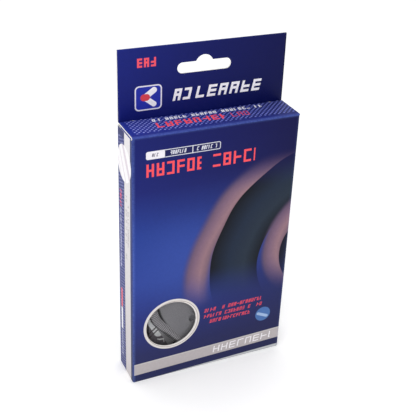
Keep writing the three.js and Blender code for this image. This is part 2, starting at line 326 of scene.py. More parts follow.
def printed_marks(add, place, left, top, right, bottom, pitch, seed, weight=0.2, slant=0.0, gaps=0.14):
    """A row of marks at the scale of lettering, which spell nothing. Each step of the pitch holds stems
    and bars, switched on by chance: a bar is where the place across or down its cell is near the bar's
    own. The weight is a bar's share of the height, and gaps the share of cells that stay empty."""
    height, width = bottom - top, MARK_SHARE * pitch
    stroke = weight * height
    x, y, _ = add("SeparateXYZ", place).outputs
    down = add("Math SUBTRACT", y, top)
    across = add("Math MULTIPLY_ADD", down, slant, x)
    steps = add("Math SUBTRACT", across, left + slant * height)
    steps = add("Math DIVIDE", steps, pitch)
    number = add("Math FLOOR", steps)
    within = add("Math MULTIPLY", add("Math FRACT", steps), pitch)
    chances = []
    for salt in (0.37, 5.83):
        dice = add("Math ADD", number, seed * 7.31 + salt)
        dice = add("TexWhiteNoise", sockets={"W": dice}, noise_dimensions="1D").outputs["Color"]
        chances += add("SeparateColor", dice).outputs[:3]
    # Each bar: what it is measured along, its middle there, and how often it is missing
    bars = (
        (within, stroke / 2, 0.14),
        (within, width - stroke / 2, 0.5),
        (down, stroke / 2, 0.35),
        (down, height / 2, 0.42),
        (down, height - stroke / 2, 0.45),
    )
    marks = 0.0
    for chance, (along, at, missing) in zip(chances, bars):
        bar = add("Math COMPARE", along, at, stroke / 2)
        bar = add("Math MULTIPLY", bar, add("Math GREATER_THAN", chance, missing))
        marks = add("Math MAXIMUM", marks, bar)
    row = printed_plate(add, place, left, top, right, bottom, 0.1, 0.05)
    for limit in (add("Math LESS_THAN", within, width), add("Math GREATER_THAN", chances[5], gaps), row):
        marks = add("Math MULTIPLY", marks, limit)
    return marks


def print_shapes(add, colour, place, shapes, within=None):
    """Prints shapes over a colour in order: each is its function, its numbers and its ink. They stay
    inside a mask where one is given."""
    for shape, numbers, ink in shapes:
        mask = shape(add, place, *numbers)
        if within is not None:
            mask = add("Math MULTIPLY", mask, within)
        colour = add("MixRGB", mask, colour, ink)
    return colour


def print_strokes(add, colour, place, strokes, ink, soft=0.1, within=None):
    """Prints strokes of one ink: each is its start, its end and its width."""
    shapes = [(printed_stroke, (*stroke, soft), ink) for stroke in strokes]
    return print_shapes(add, colour, place, shapes, within)


def gap(add, value, at):
    """How far a value is from a number."""
    return add("Math ABSOLUTE", add("Math SUBTRACT", value, at))


def sweep(add, place, centre, radius, width, inks, seed, soft):
    """A broad ribbon along a circle that wanders, shaded across its width and soft at its edges: its mask
    compares the distance to the circle with half the width. Gives the mask and the colour."""
    noise = {"Scale": 0.02, "Detail": 1.0, "W": seed}
    wander = add("TexNoise", place, sockets=noise, noise_dimensions="4D")
    distance = add("VectorMath DISTANCE", place, centre).outputs["Value"]
    distance = add("Math MULTIPLY_ADD", wander, 6.0, distance)
    share = add("MapRange", distance, radius - width / 2, radius + width / 2, 0.0, 1.0)
    limits = (width / 2 - soft, width / 2, 1.0, 0.0)
    mask = add("MapRange", gap(add, distance, radius), *limits, interpolation_type="SMOOTHSTEP")
    return mask, add("ValToRGB", share, stops=inks)


def woven_lanes(add, place, pitch, dash, lean=1):
    """Lanes at 45 degrees, as woven from short dashes. Across the lanes and along them the shade is a
    cosine, and every second lane starts half a dash later. Gives the mask of the lanes and that of the
    dashes."""
    x, y, _ = add("SeparateXYZ", place).outputs
    across = add("Math MULTIPLY_ADD", y, lean, x)
    along = add("Math MULTIPLY_ADD", y, -lean, x)
    lane = add("Math COSINE", add("Math MULTIPLY", across, math.tau / pitch))
    lane = add("MapRange", lane, -0.25, 0.45, 0.0, 1.0)
    step = add("Math ROUND", add("Math MULTIPLY", across, 1 / pitch))
    along = add("Math MULTIPLY", along, 1 / dash)
    along = add("Math MULTIPLY_ADD", step, 0.5, along)
    dashes = add("Math COSINE", add("Math MULTIPLY", along, math.tau))
    dashes = add("MapRange", dashes, -0.1, 0.6, 0.0, 1.0)
    return lane, add("Math MULTIPLY", lane, dashes)


def crease_highlight(add, colour, place, sides, reach):
    """Paints a highlight along creases: each is an axis, a place on it and a strength."""
    parts = add("SeparateXYZ", place)
    grain = add("TexNoise", place, sockets={"Scale": 0.9, "Detail": 3.0})
    for axis, at, strength in sides:
        near = add("MapRange", gap(add, parts.outputs[axis], at), 0.0, reach, strength, 0.0)
        colour = add("MixRGB", add("Math MULTIPLY", near, grain), colour, "#6c86d6")
    return colour


def finish_print(add, place, colour, roughness=0.42):
    """Offset ink on clay-coated board under a thin satin varnish: fine mottle in the ink, faint
    waviness. The varnish is index-matched to the ink, so it adds little white of its own."""
    mottle = add("TexNoise", place, sockets={"Scale": 0.6, "Detail": 4.0, "Roughness": 0.6})
    speck = add("MapRange", mottle, 0.3, 0.7, 0.96, 1.04)
    colour = add("MixRGB", 1.0, colour, speck, blend_type="MULTIPLY")
    shine = add("MapRange", mottle, 0.3, 0.7, roughness - 0.04, roughness + 0.05)
    wave = add("TexNoise", place, sockets={"Scale": 0.05, "Detail": 2.0})
    finish_material(add, colour, shine, wave, 0.5, IOR=1.48, Specular_IOR_Level=0.12)


# What is printed on each panel. A plate's numbers are its left, top, right, bottom and corner radius, a
# disc's its place across, its place down and its radius, and a stroke's its start, its end and its
# width. A row of marks has its left, top, right, bottom, pitch and seed, and may have its weight, slant
# and gaps. PAST is how far a plate that runs off a panel reaches.
PAST = 1

FRONT_HEADING = (
    (printed_plate, (7.8, 9.3, 51.3, 13.9, 1.1), "#e2e3ec"),
    (printed_plate, (8.2, 9.7, 50.9, 13.5, 0.8), "#1c1f55"),
    (printed_plate, (7.8, 9.3, 18.5, 13.9, 1.1), "#eeeaf1"),
    (printed_plate, (34.4, 9.3, 34.9, 13.9, 0.1), "#e2e3ec"),
    (printed_marks, (11, 10.6, 16.2, 12.6, 1.3, 1, 0.2, 0.2, 0.05), "#5a5568"),
    (printed_marks, (21.5, 10.4, 32, 12.7, 1.35, 2, 0.2, 0.2, 0.05), "#dadbe6"),
    (printed_marks, (37, 10.4, 49, 12.7, 1.35, 3, 0.2, 0.2, 0.05), "#dadbe6"),
    (printed_marks, (8, 16.6, 40, 24.4, 5.9, 4, 0.17, 0.0, 0.0), "#f5535d"),
    (printed_marks, (47, 16.6, 73, 24.4, 6.3, 8, 0.17, 0.0, 0.0), "#f5535d"),
)
FRONT_NOTES = (
    (printed_marks, (45.5, 120.2, 84.5, 122.8, 2.0, 5, 0.22, 0.25, 0.12), "#d8485b"),
    (printed_marks, (45.5, 124.6, 86, 127.2, 2.0, 6, 0.22, 0.25, 0.12), "#d8485b"),
    (printed_marks, (45.5, 129.0, 79, 131.6, 2.0, 7, 0.22, 0.25, 0.12), "#d8485b"),
)
FRONT_SEAL = (86.8, 134.5, 5.2)
FRONT_SEAL_STRIPE = ((83.4, 133.6), (89.6, 136.6), 2.0)

# The silver band, its marks and a pale grey wedge at the base. They rise across the panel by BAND_SKEW a
# millimetre.
BAND_SKEW = 0.024
FRONT_BAND = (
    (printed_plate, (0.8, 150.4, WIDTH + PAST, 158.5, 0.1), "#cdc8c7"),
    (printed_plate, (0.8, 151.1, WIDTH + PAST, 158.5, 0.1), "#b4adaf"),
    (printed_marks, (53, 152.1, 93.5, 157.0, 5.6, 9, 0.15, 0.12, 0.0), "#ece9ed"),
    (printed_plate, (-PAST, 163.8, WIDTH + PAST, 169.0, 0.1), "#c3c5c8"),
)

# The ring round the window, and a thin line in it
RING_X, RING_Y = WINDOW_X - LEFT + RING_SHIFT, LID_TOP - WINDOW_Z
FRONT_RING = (
    (printed_disc, (RING_X, RING_Y, WINDOW_RING_RADIUS), "#dad5d3"),
    (printed_disc, (RING_X + RING_SHIFT, RING_Y + RING_DROP, 16.7), "#9d9088"),
    (printed_disc, (RING_X + RING_SHIFT, RING_Y + RING_DROP, 16.35), "#e6e1df"),
)

# Inks across a ribbon, and the ribbons themselves: centre, radius, width, inks, seed and softness
SLATE = ((0.0, "#0c111b"), (0.3, "#25303f"), (0.62, "#1e2a3e"), (1.0, "#0b0d15"))
ROSE = ((0.0, "#4a3f58"), (0.4, "#93727c"), (0.65, "#7b6076"), (1.0, "#403a58"))
NIGHT = ((0.0, "#0b0d20"), (0.5, "#222a48"), (1.0, "#0c0d20"))
RIBBONS = (
    ((122, 104, 0), 86, 22, ROSE, 3.0, 6.0),
    ((124, 96, 0), 63, 32, SLATE, 7.0, 0.5),
    ((126, 88, 0), 38, 20, ROSE, 11.0, 4.0),
    ((124, 92, 0), 20, 24, NIGHT, 15.0, 0.5),
)

# The ribbons come up over one stretch of the way down the panel, and fade over another
RIBBONS_RISE, RIBBONS_FADE = (20.0, 44.0), (90.0, 120.0)

# A lighter patch in the front's ground: its middle, the distances over which it fades, and its strength
GLOW_MIDDLE, GLOW_FADE, GLOW_STRENGTH = (34, 84, 0), (4.0, 42.0), 0.55

# The front's ground colour down its left and right edges
LEFT_GROUND = (
    (0.0, "#131c68"),
    (0.2, "#19226e"),
    (0.37, "#263e90"),
    (0.56, "#2e4497"),
    (0.72, "#28337b"),
    (0.88, "#282c5c"),
    (1.0, "#242954"),
)
RIGHT_GROUND = (
    (0.0, "#0b0b44"),
    (0.16, "#0d0e45"),
    (0.45, "#2e408c"),
    (0.62, "#212a63"),
    (0.86, "#212450"),
    (1.0, "#22264d"),
)

# The side panel's woven strip, its pale band, its disc with stripes, and its rows of marks, which run
# along the panel, so that their places are turned
SIDE_STRIP = (1.2, 6.0, 10.6, LID_TOP + 2, 0.1)
SIDE_BAND = (11.2, 1.2, 20.2, LID_TOP + 2, 1.0)
SIDE_DISC = (10.8, 20.4, 10.8)
SIDE_STRIPES = (((3, 13), (14, 31), 1.1), ((8, 9), (20, 27), 3.2), ((0, 19), (9, 33), 0.7))
SIDE_NOTES = (
    (printed_marks, (38.4, 13.0, 80, 15.2, 2.2, 21, 0.16, 0.1, 0.2), "#b2adb3"),
    (printed_marks, (38.4, 16.2, 76, 18.4, 2.2, 22, 0.16, 0.1, 0.2), "#b2adb3"),
    (printed_marks, (39.2, 3.2, 49.6, 6.4, 2.4, 23, 0.28), "#dc5a80"),
    (printed_marks, (51.2, 3.6, 89.8, 5.8, 1.5, 24, 0.2), "#b9bbda"),
    (printed_marks, (136, 4.0, 155, 6.4, 1.7, 25, 0.24), "#a9abc9"),
)
SIDE_PLATES = (
    (printed_plate, (4.0, 105.2, 6.4, 118.6, 0.4), "#f06a78"),
    (printed_plate, (4.0, 119.0, 6.4, 134.8, 0.4), "#fbfafd"),
)

# The lid's woven field, its plain strip and its rows
LID_FIELD = (3.2, 1.6, WIDTH + PAST, 19.6, 0.1)
LID_SHAPES = (
    (printed_plate, (-PAST, 20.4, WIDTH + PAST, DEPTH + PAST, 0.1, 0.5), "#242e80"),
    (printed_marks, (17.5, 4.0, 84, 7.4, 2.6, 31, 0.24, 0.15), "#eeedf6"),
    (printed_marks, (17.5, 9.6, 58, 15.8, 5.4, 34, 0.2, 0.1, 0.0), "#ee4f62"),
    (printed_marks, (62, 10.0, 73, 15.4, 3.9, 37, 0.13, 0.1, 0.0), "#c8486a"),
    (printed_disc, (8.2, 1.9, 0.55), "#dcdcea"),
    (printed_disc, (91.8, 1.9, 0.55), "#dcdcea"),
)

# The tab's row of marks, its badge of a bent joint, and its heading
TAB_SHAPES = (
    (printed_marks, (11, 5.8, 22.6, 10.9, 3.9, 46, 0.22, 0.0, 0.0), "#f05566"),
    (printed_plate, (9.6, 21.2, 25.2, 35.4, 2.4), "#e6e3ee"),
    (printed_plate, (10.3, 21.9, 24.5, 34.7, 1.8), "#2430a2"),
    (printed_stroke, ((20.6, 24.2), (15.2, 28.0), 3.4), "#f0eef5"),
    (printed_stroke, ((15.2, 28.0), (20.6, 32.2), 3.0), "#f0eef5"),
    (printed_stroke, ((14.8, 28.0), (16.4, 28.0), 3.9), "#d8434f"),
    (printed_marks, (31.5, 25.2, 43, 32.0, 5.9, 43, 0.22, 0.22, 0.0), "#f4f2f8"),
    (printed_marks, (45, 25.2, 88.0, 32.0, 6.9, 48, 0.22, 0.22, 0.0), "#f4f2f8"),
)

# The woven pattern's pitch across its lanes and along them
WEAVE = 3.0


def front_print():
    """The window panel: a blue ground, sweeping ribbons, a heading of marks and a silver band. The band
    and the lower end of the print run slightly askew, so that a pale grey wedge shows at the
    base."""
    material, add, place = new_material("Offset print, window panel")
    panel = panel_place(add, place, "X", "Z", LEFT, LID_TOP)
    x, y, _ = add("SeparateXYZ", panel).outputs
    across = add("MapRange", x, 0.0, WIDTH, 0.0, 1.0)
    down = add("MapRange", y, 0.0, LID_TOP, 0.0, 1.0)
    left, right = (add("ValToRGB", down, stops=stops) for stops in (LEFT_GROUND, RIGHT_GROUND))
    colour = add("MixRGB", across, left, right)
    glow = add("VectorMath DISTANCE", panel, GLOW_MIDDLE).outputs["Value"]
    glow = add("MapRange", glow, *GLOW_FADE, GLOW_STRENGTH, 0.0, interpolation_type="SMOOTHSTEP")
    colour = add("MixRGB", glow, colour, "#3750a4")
    art = colour
    for ribbon in RIBBONS:
        mask, ink = sweep(add, panel, *ribbon)
        art = add("MixRGB", mask, art, ink)
    faded = add("MapRange", y, *RIBBONS_FADE, 1.0, 0.0, interpolation_type="SMOOTHSTEP")
    rising = add("MapRange", y, *RIBBONS_RISE, 0.0, 1.0, interpolation_type="SMOOTHSTEP")
    colour = add("MixRGB", add("Math MULTIPLY", faded, rising), colour, art)
    colour = print_shapes(add, colour, panel, FRONT_HEADING)
    seal = printed_disc(add, panel, *FRONT_SEAL)
    colour = add("MixRGB", seal, colour, "#4a70ab")
    colour = print_strokes(add, colour, panel, [FRONT_SEAL_STRIPE], "#9db6da", within=seal)
    skewed = add("CombineXYZ", x, add("Math MULTIPLY_ADD", x, BAND_SKEW, y), 0.0)
    colour = print_shapes(add, colour, skewed, FRONT_BAND)
    colour = print_shapes(add, colour, panel, FRONT_RING + FRONT_NOTES)
    colour = crease_highlight(add, colour, place, (("X", LEFT, 0.62), ("Z", LID_TOP, 0.45), ("X", RIGHT, 0.2)), 1.9)
    finish_print(add, place, colour)
    return material


def side_print():
    """A side panel: a woven strip at the rear, a pale band, and a navy strip along the front crease."""
    material, add, place = new_material("Offset print, side panel")
    panel = panel_place(add, place, "Y", "Z", BACK, LID_TOP, -1)
    x, y, _ = add("SeparateXYZ", panel).outputs
    turned = add("CombineXYZ", y, x, 0.0)
    down = add("MapRange", y, 0.0, LID_TOP, 0.0, 1.0)
    colour = add("ValToRGB", down, stops=((0.0, "#1b2568"), (0.5, "#1c286e"), (1.0, "#1a1f4c")))
    strip = printed_plate(add, panel, *SIDE_STRIP)
    lanes, dashes = woven_lanes(add, panel, WEAVE, WEAVE, -1)
    for mask, ink in ((lanes, "#303b8a"), (dashes, "#9a9ed8")):
        colour = add("MixRGB", add("Math MULTIPLY", strip, mask), colour, ink)
    pale = add("ValToRGB", down, stops=((0.0, "#ebe8ea"), (0.55, "#dcd8da"), (1.0, "#ccc5c7")))
    band = printed_plate(add, panel, *SIDE_BAND)
    colour = add("MixRGB", band, colour, pale)
    colour = print_shapes(add, colour, turned, SIDE_NOTES)
    disc = printed_disc(add, panel, *SIDE_DISC)
    colour = add("MixRGB", disc, colour, "#fdfbfe")
    colour = print_strokes(add, colour, panel, SIDE_STRIPES, "#e2d8e1", within=disc)
    colour = print_shapes(add, colour, panel, SIDE_PLATES)
    colour = crease_highlight(add, colour, place, (("Y", FRONT, 0.55), ("Y", BACK, 0.1)), 1.8)
    finish_print(add, place, colour)
    return material


def lid_print():
    """The lid: woven lanes on blue with two lines of marks, and a plain strip along the front crease."""
    material, add, place = new_material("Offset print, lid")
    panel = panel_place(add, place, "X", "Y", LEFT, BACK)
    across = add("MapRange", add("SeparateXYZ", panel).outputs["X"], 0.0, WIDTH, 0.0, 1.0)
    colour = add("ValToRGB", across, stops=((0.0, "#232f8c"), (0.5, "#19226c"), (1.0, "#262c62")))
    light = add("ValToRGB", across, stops=((0.0, "#a3a9f0"), (0.5, "#7780d0"), (1.0, "#8188c8")))
    field = printed_plate(add, panel, *LID_FIELD)
    lanes, dashes = woven_lanes(add, panel, WEAVE, WEAVE)
    lanes = add("Math MULTIPLY", lanes, 0.8)
    for mask, ink in ((lanes, "#2f3a96"), (dashes, light)):
        colour = add("MixRGB", add("Math MULTIPLY", field, mask), colour, ink)
    colour = print_shapes(add, colour, panel, LID_SHAPES)
    colour = crease_highlight(add, colour, place, (("Y", FRONT, 0.45), ("X", LEFT, 0.2)), 1.8)
    finish_print(add, place, colour)
    return material


def tab_print():
    """The hang tab and the back panel: a navy ground, with a badge and a heading on the tab's front."""
    material, add, place = new_material("Offset print, hang tab and back")
    panel = panel_place(add, place, "X", "Z", LEFT, TAB_TOP)
    x, y, _ = add("SeparateXYZ", panel).outputs
    across = add("MapRange", x, 0.0, WIDTH, 0.0, 1.0)
    down = add("MapRange", y, 0.0, TAB_TOP - LID_TOP, 0.0, 1.0)
    high = add("ValToRGB", across, stops=((0.0, "#162176"), (0.5, "#0e165c"), (1.0, "#070b48")))
    low = add("ValToRGB", across, stops=((0.0, "#111a6c"), (0.5, "#0b145b"), (1.0, "#060d48")))
    colour = add("MixRGB", down, high, low)
    on_front = add("Math LESS_THAN", add("SeparateXYZ", place).outputs["Y"], BACK - BOARD)
    colour = print_shapes(add, colour, panel, TAB_SHAPES, on_front)
    colour = crease_highlight(add, colour, place, (("Z", TAB_TOP, 0.15), ("X", LEFT, 0.1)), 0.5)
    finish_print(add, place, colour)
    return material


def flap_print():
    """The tuck flap and the dust flaps: the ground colour of the lid, plain."""
    material, add, place = new_material("Offset print, flaps")
    tone = add("TexNoise", place, sockets={"Scale": 0.02, "Detail": 1.0})
    colour = add("ValToRGB", tone, stops=((0.3, "#222e84"), (0.7, "#28348c")))
    finish_print(add, place, colour)
    return material


def raw_board():
    """Solid bleached board, as cut: matt off-white pulp with short fibres along its sheet."""
    material, add, place = new_material("Bleached board, raw")
    fibres = add("VectorMath MULTIPLY", place, (0.7, 0.7, 3.0))
    fibres = add("TexNoise", fibres, sockets={"Scale": 2.2, "Detail": 5.0, "Roughness": 0.65})
    colour = add("ValToRGB", fibres, stops=((0.3, "#f1eeea"), (0.7, "#fefdfa")))
    finish_material(add, colour, 0.85, fibres, 0.03)
    return material


def knitted(name, base, light, pitch):
    """A plain knit on the cloth's own UV map in millimetres: columns of stitches, each row of loops
    offset, the raised loops painted lighter as painted highlight. Painted shade lies in the crease beside
    the binding, and thins towards the base. A real jersey's stitches lie closer, and these are drawn as
    coarse as they need to show."""
    material, add, place = new_material(name)
    cloth = add("UVMap", uv_map="cloth")
    steps = add("VectorMath MULTIPLY", cloth, (1 / pitch, 1 / pitch, 0))
    x, y, _ = add("SeparateXYZ", steps).outputs
    columns = add("Math SINE", add("Math MULTIPLY", x, math.tau))
    rows = add("Math MULTIPLY_ADD", columns, 1.2, y)
    rows = add("Math SINE", add("Math MULTIPLY", rows, math.tau))
    loops = add("Math MULTIPLY", columns, rows)
    height = add("MapRange", loops, -1.0, 1.0, 0.0, 1.0)
    patchy = add("TexNoise", place, sockets={"Scale": 0.06, "Detail": 2.0})
    fuzz = add("TexNoise", place, sockets={"Scale": 3.5, "Detail": 3.0})
    shade = add("Math MULTIPLY_ADD", patchy, 0.3, fuzz)
    shade = add("Math MULTIPLY_ADD", height, 0.4, shade)
    # The raised loops take the lighter colour: painted highlight on the stitches
    colour = add("ValToRGB", shade, stops=((0.5, base), (1.2, light)))
    flat = panel_place(add, place, "X", "Z", LEFT, 0)
    # Painted shade in the crease beside the binding
    colour = print_strokes(add, colour, flat, CREASE_SHADE, "#1b1a1d", 0.35)
    finish_material(add, colour, 0.85, height, 0.12, Sheen_Weight=0.25, Sheen_Roughness=0.5)
    return material


def ribbed_tape(name, base, light, pitch):
    """A narrow ribbed tape on the cloth's UV map in millimetres: ribs across its length as a rounded
    sine, with painted shade in the grooves, fine fibres over them, painted shade where it turns under,
    and a painted shadow along its edge towards the base."""
    material, add, place = new_material(name)
    cloth = add("UVMap", uv_map="cloth")
    across, along, _ = add("SeparateXYZ", cloth).outputs
    drift = add("TexNoise", cloth, sockets={"Scale": 0.35, "Detail": 2.0})
    along = add("Math MULTIPLY_ADD", drift, 0.8, along)
    ribs = add("Math SINE", add("Math MULTIPLY", along, math.tau / pitch))
    ribs = add("MapRange", ribs, -0.9, 0.7, 0.0, 1.0, interpolation_type="SMOOTHSTEP")
    fuzz = add("TexNoise", place, sockets={"Scale": 3.5, "Detail": 3.0})
    shade = add("Math MULTIPLY_ADD", ribs, 0.5, fuzz)
    # The ribs' grooves take the darker colour: painted shade in the grooves
    colour = add("ValToRGB", shade, stops=((0.4, base), (1.0, light)))
    # Painted shade on the tape's nose and back, where it turns under
    turned = add("MapRange", across, BINDING_WIDTH - 0.1, BINDING_WIDTH + 0.2, 0.0, 0.85)
    colour = add("MixRGB", turned, colour, "#2b2a2d")
    flat = panel_place(add, place, "X", "Z", LEFT, 0)
    # Painted shadow along the binding's edge towards the base
    colour = print_strokes(add, colour, flat, TAPE_EDGE_SHADOW, "#2b2a2d", 0.4)
    finish_material(add, colour, 0.9, ribs, 0.22, Sheen_Weight=0.2, Sheen_Roughness=0.5)
    return material


def neoprene_foam():
    """Cut neoprene: matt closed-cell foam, pitted by its cells, that reads mid grey in the light."""
    material, add, place = new_material("Neoprene foam, cut")
    cells = add("TexVoronoi", place, sockets={"Scale": 3.0})
    # The cells' pits take the darker colour: painted shade
    colour = add("ValToRGB", cells, stops=((0.0, "#55555a"), (0.6, "#77777c")))
    finish_material(add, colour, 0.9, cells, 0.08)
    return material


def hook_tape():
    """Nylon hook tape: a pale, slightly shiny ground set with rows of fine hooks. It runs aslant
    between two straight edges, is crossed by two sewn lines and ends in a round end. Beside it lies the
    grey cloth that it is sewn to. Left of the tape and below its sewn lines the cloth is painted darker, as
    painted shade, and pale strokes on its curled edge are painted highlight."""
    material, add, _ = new_material("Nylon hook tape")
    cloth = add("UVMap", uv_map="cloth")
    hooks = add("TexVoronoi", cloth, sockets={"Scale": 1.1, "Randomness": 0.25})
    grain = add("TexNoise", cloth, sockets={"Scale": 1.4, "Detail": 3.0})
    pale = add("ValToRGB", hooks, stops=((0.1, "#ffffff"), (0.6, "#dfe2e5")))
    # The darker ramp is painted shade on the cloth beside and below the hook tape
    dark = add("ValToRGB", grain, stops=((0.3, "#5d585f"), (0.7, "#78737a")))
    grey = add("ValToRGB", grain, stops=((0.3, "#96959a"), (0.7, "#aeadb1")))
    x, y, _ = add("SeparateXYZ", cloth).outputs
    beside = add("Math MULTIPLY_ADD", x, HOOK_LEAN, y)
    crossing = add("Math MULTIPLY_ADD", x, -SEAM_SLOPE, y)
    left, right = HOOK_EDGES
    right_of_left = add("MapRange", beside, left - 0.3, left + 0.3, 0.0, 1.0)
    left_of_right = add("MapRange", beside, right - 0.3, right + 0.3, 1.0, 0.0)
    above = add("MapRange", crossing, SEAMS[0] - 0.2, SEAMS[0] + 0.2, 0.0, 1.0)
    round_end = printed_disc(add, cloth, -3.2, 9.8, 3.5, 0.25)
    hook_side = add("Math MULTIPLY", add("Math MAXIMUM", above, round_end), left_of_right)
    upper_side = add("Math SUBTRACT", above, right_of_left, use_clamp=True)
    colour = add("MixRGB", left_of_right, grey, dark)
    colour = add("MixRGB", hook_side, colour, pale)
    colour = add("MixRGB", upper_side, colour, dark)
    for at in SEAMS:
        thread = add("MapRange", gap(add, crossing, at), 0.35, 0.7, 1.0, 0.0)
        colour = add("MixRGB", add("Math MULTIPLY", thread, left_of_right), colour, "#4f484b")
    # Painted highlight strokes on the curled edge
    colour = print_strokes(add, colour, cloth, CURL_HIGHLIGHTS, "#f2f2f3")
    finish_material(add, colour, 0.6, hooks, 0.2)
    return material


def loop_pile():
    """Brushed nylon loop pile: a navy nap with a soft sheen."""
    material, add, place = new_material("Brushed loop pile")
    nap = add("TexNoise", place, sockets={"Scale": 1.6, "Detail": 6.0, "Roughness": 0.7})
    colour = add("ValToRGB", nap, stops=((0.35, "#141b2b"), (0.7, "#2a3754")))
    finish_material(add, colour, 0.95, nap, 0.5, Sheen_Weight=0.6, Sheen_Roughness=0.6)
    return material


# Meshes


def grid_faces(rows, columns, closed=False):
    """The quads of a grid of points, rows by columns. A closed grid joins its last column to its first."""
    number = np.arange(rows * columns).reshape(rows, columns)
    if closed:
        number = np.hstack([number, number[:, :1]])
    quads = (number[:-1, :-1], number[:-1, 1:], number[1:, 1:], number[1:, :-1])
    return np.stack(quads, axis=-1).reshape(-1, 4)


def weld(mesh, reach, closed=False):
    """Merges points nearer than the reach in millimetres, and drops faces without area. The faces of a
    closed mesh are turned outwards."""
    shell = bmesh.new()
    shell.from_mesh(mesh)
    bmesh.ops.remove_doubles(shell, verts=shell.verts, dist=reach * MM)
    bmesh.ops.dissolve_degenerate(shell, edges=shell.edges, dist=NO_LENGTH * MM)
    if closed:
        bmesh.ops.recalc_face_normals(shell, faces=shell.faces)
    shell.to_mesh(mesh)
    shell.free()


def link_mesh(name, mesh):
    """A new object for a mesh, in the scene."""
    item = bpy.data.objects.new(name, mesh)
    bpy.context.scene.collection.objects.link(item)
    return item


def build(name, part, materials):
    """An object from a grid of points in millimetres. The part is a dictionary: points (rows, columns,
    3), and where needed closed, a material index for each cell, uv in millimetres, and capped ends."""
    rows, columns = part["points"].shape[:2]
    closed = part.get("closed", False)
    faces = grid_faces(rows, columns, closed).tolist()
    slots = np.broadcast_to(part.get("slot", 0), (len(faces),))
    if part.get("capped"):
        first = np.arange(columns)
        faces += [first[::-1].tolist(), (first + (rows - 1) * columns).tolist()]
        slots = np.append(slots, (0, 0))
    mesh = bpy.data.meshes.new(name)
    mesh.from_pydata((part["points"].reshape(-1, 3) * MM).tolist(), [], faces)
    mesh.polygons.foreach_set("material_index", slots.astype(np.int32))
    mesh.polygons.foreach_set("use_smooth", np.ones(len(faces), bool))
    layer = mesh.uv_layers.new(name="cloth")
    corner = np.empty(len(mesh.loops), np.int32)
    mesh.loops.foreach_get("vertex_index", corner)
    uvs = part.get("uv", np.zeros((rows, columns, 2))).reshape(-1, 2)
    layer.data.foreach_set("uv", uvs[corner].ravel())
    for material in materials:
        mesh.materials.append(material)
    weld(mesh, 4 * NO_LENGTH, closed)
    mesh.update()
    return link_mesh(name, mesh)


def prism(name, outline, low, high, material):
    """A closed prism along Y from an outline in X and Z, used to cut through board and cloth."""
    near, far = (np.insert(outline, 1, y, axis=1) for y in (low, high))
    count = len(outline)
    ends = [list(range(count))[::-1], list(range(count, 2 * count))]
    mesh = bpy.data.meshes.new(name)
    points = np.concatenate([near, far]) * MM
    mesh.from_pydata(points.tolist(), [], grid_faces(2, count, closed=True).tolist() + ends)
    mesh.materials.append(material)
    weld(mesh, NO_LENGTH, closed=True)
    return link_mesh(name, mesh)


def settle(item, cutters=()):
    """Applies an object's modifiers, merges the points that they leave on one another, and deletes the
    cutters."""
    graph = bpy.context.evaluated_depsgraph_get()
    finished = bpy.data.meshes.new_from_object(item.evaluated_get(graph), depsgraph=graph)
    weld(finished, NO_LENGTH)
    item.modifiers.clear()
    rough, item.data = item.data, finished
    bpy.data.meshes.remove(rough)
    for cutter in cutters:
        bpy.data.objects.remove(cutter)
    return item


def cut(item, cutter):
    """Cuts a hole with a boolean whose result is the same each run. The cut faces take the cutter's
    material."""
    hole = item.modifiers.new("Die cut", "BOOLEAN")
    hole.operation = "DIFFERENCE"
    hole.solver = "MANIFOLD"
    hole.material_mode = "TRANSFER"
    hole.object = cutter


def make_board(item, cutters=(), thickness=BOARD_DRAWN):
    """Gives a printed surface its board: thickness behind the print, die cuts, and edges with a slight
    round."""
    sheet = item.modifiers.new("Board", "SOLIDIFY")
    sheet.thickness = thickness * MM
    sheet.offset = -1
    sheet.use_even_offset = True
    sheet.material_offset = len(item.data.materials)
    sheet.material_offset_rim = len(item.data.materials)
    for cutter in cutters:
        cut(item, cutter)
    edge = item.modifiers.new("Edges", "BEVEL")
    edge.width = EDGE_ROUND * MM
    edge.segments = 2
    edge.limit_method = "ANGLE"
    edge.angle_limit = math.radians(EDGE_ANGLE)
    item.modifiers.new("Flat faces", "WEIGHTED_NORMAL").keep_sharp = True
    return settle(item, cutters)


def print_rims(item, slot, low, high):
    """Gives a print to the faces whose middles lie in a box in millimetres: where board folds on
    without a cut."""
    count = len(item.data.polygons)
    middles = np.empty(3 * count)
    item.data.polygons.foreach_get("center", middles)
    middles = middles.reshape(-1, 3) / MM
    inside = ((middles > low) & (middles < high)).all(axis=1)
    slots = np.empty(count, np.int32)
    item.data.polygons.foreach_get("material_index", slots)
    item.data.polygons.foreach_set("material_index", np.where(inside, slot, slots).astype(np.int32))
    return item


# Paths and formulas


def arc(centre, radius, start, end, steps):
    """Points on an arc, from one angle to another in degrees."""
    angle = np.radians(np.linspace(start, end, steps))
    return np.stack([centre[0] + radius * np.cos(angle), centre[1] + radius * np.sin(angle)], axis=1)


def circle(centre, radius, steps):
    """Points once round a circle, without the first again at its end."""
    return arc(centre, radius, 0, 360 - 360 / steps, steps)


def path(*stretches):
    """Stretches of points joined into one path, without the repeated points where they meet."""
    joined = [stretches[0]] + [stretch[1:] for stretch in stretches[1:]]
    return np.concatenate(joined)


def through(points, steps):
    """A smooth curve through points, in so many steps from each to the next: a cubic whose slope at a
    point is half the way from the point before it to the point after it."""
    ends = np.concatenate([2 * points[:1] - points[1:2], points, 2 * points[-1:] - points[-2:-1]])
    before, first, second, after = (ends[i : len(ends) - 3 + i, None, :] for i in range(4))
    t = np.linspace(0, 1, steps, endpoint=False)[None, :, None]
    curve = 0.5 * (
        2 * first
        + (second - before) * t
        + (2 * before - 5 * first + 4 * second - after) * t**2
        + (3 * first - before - 3 * second + after) * t**3
    )
    return np.concatenate([curve.reshape(-1, points.shape[1]), points[-1:]])


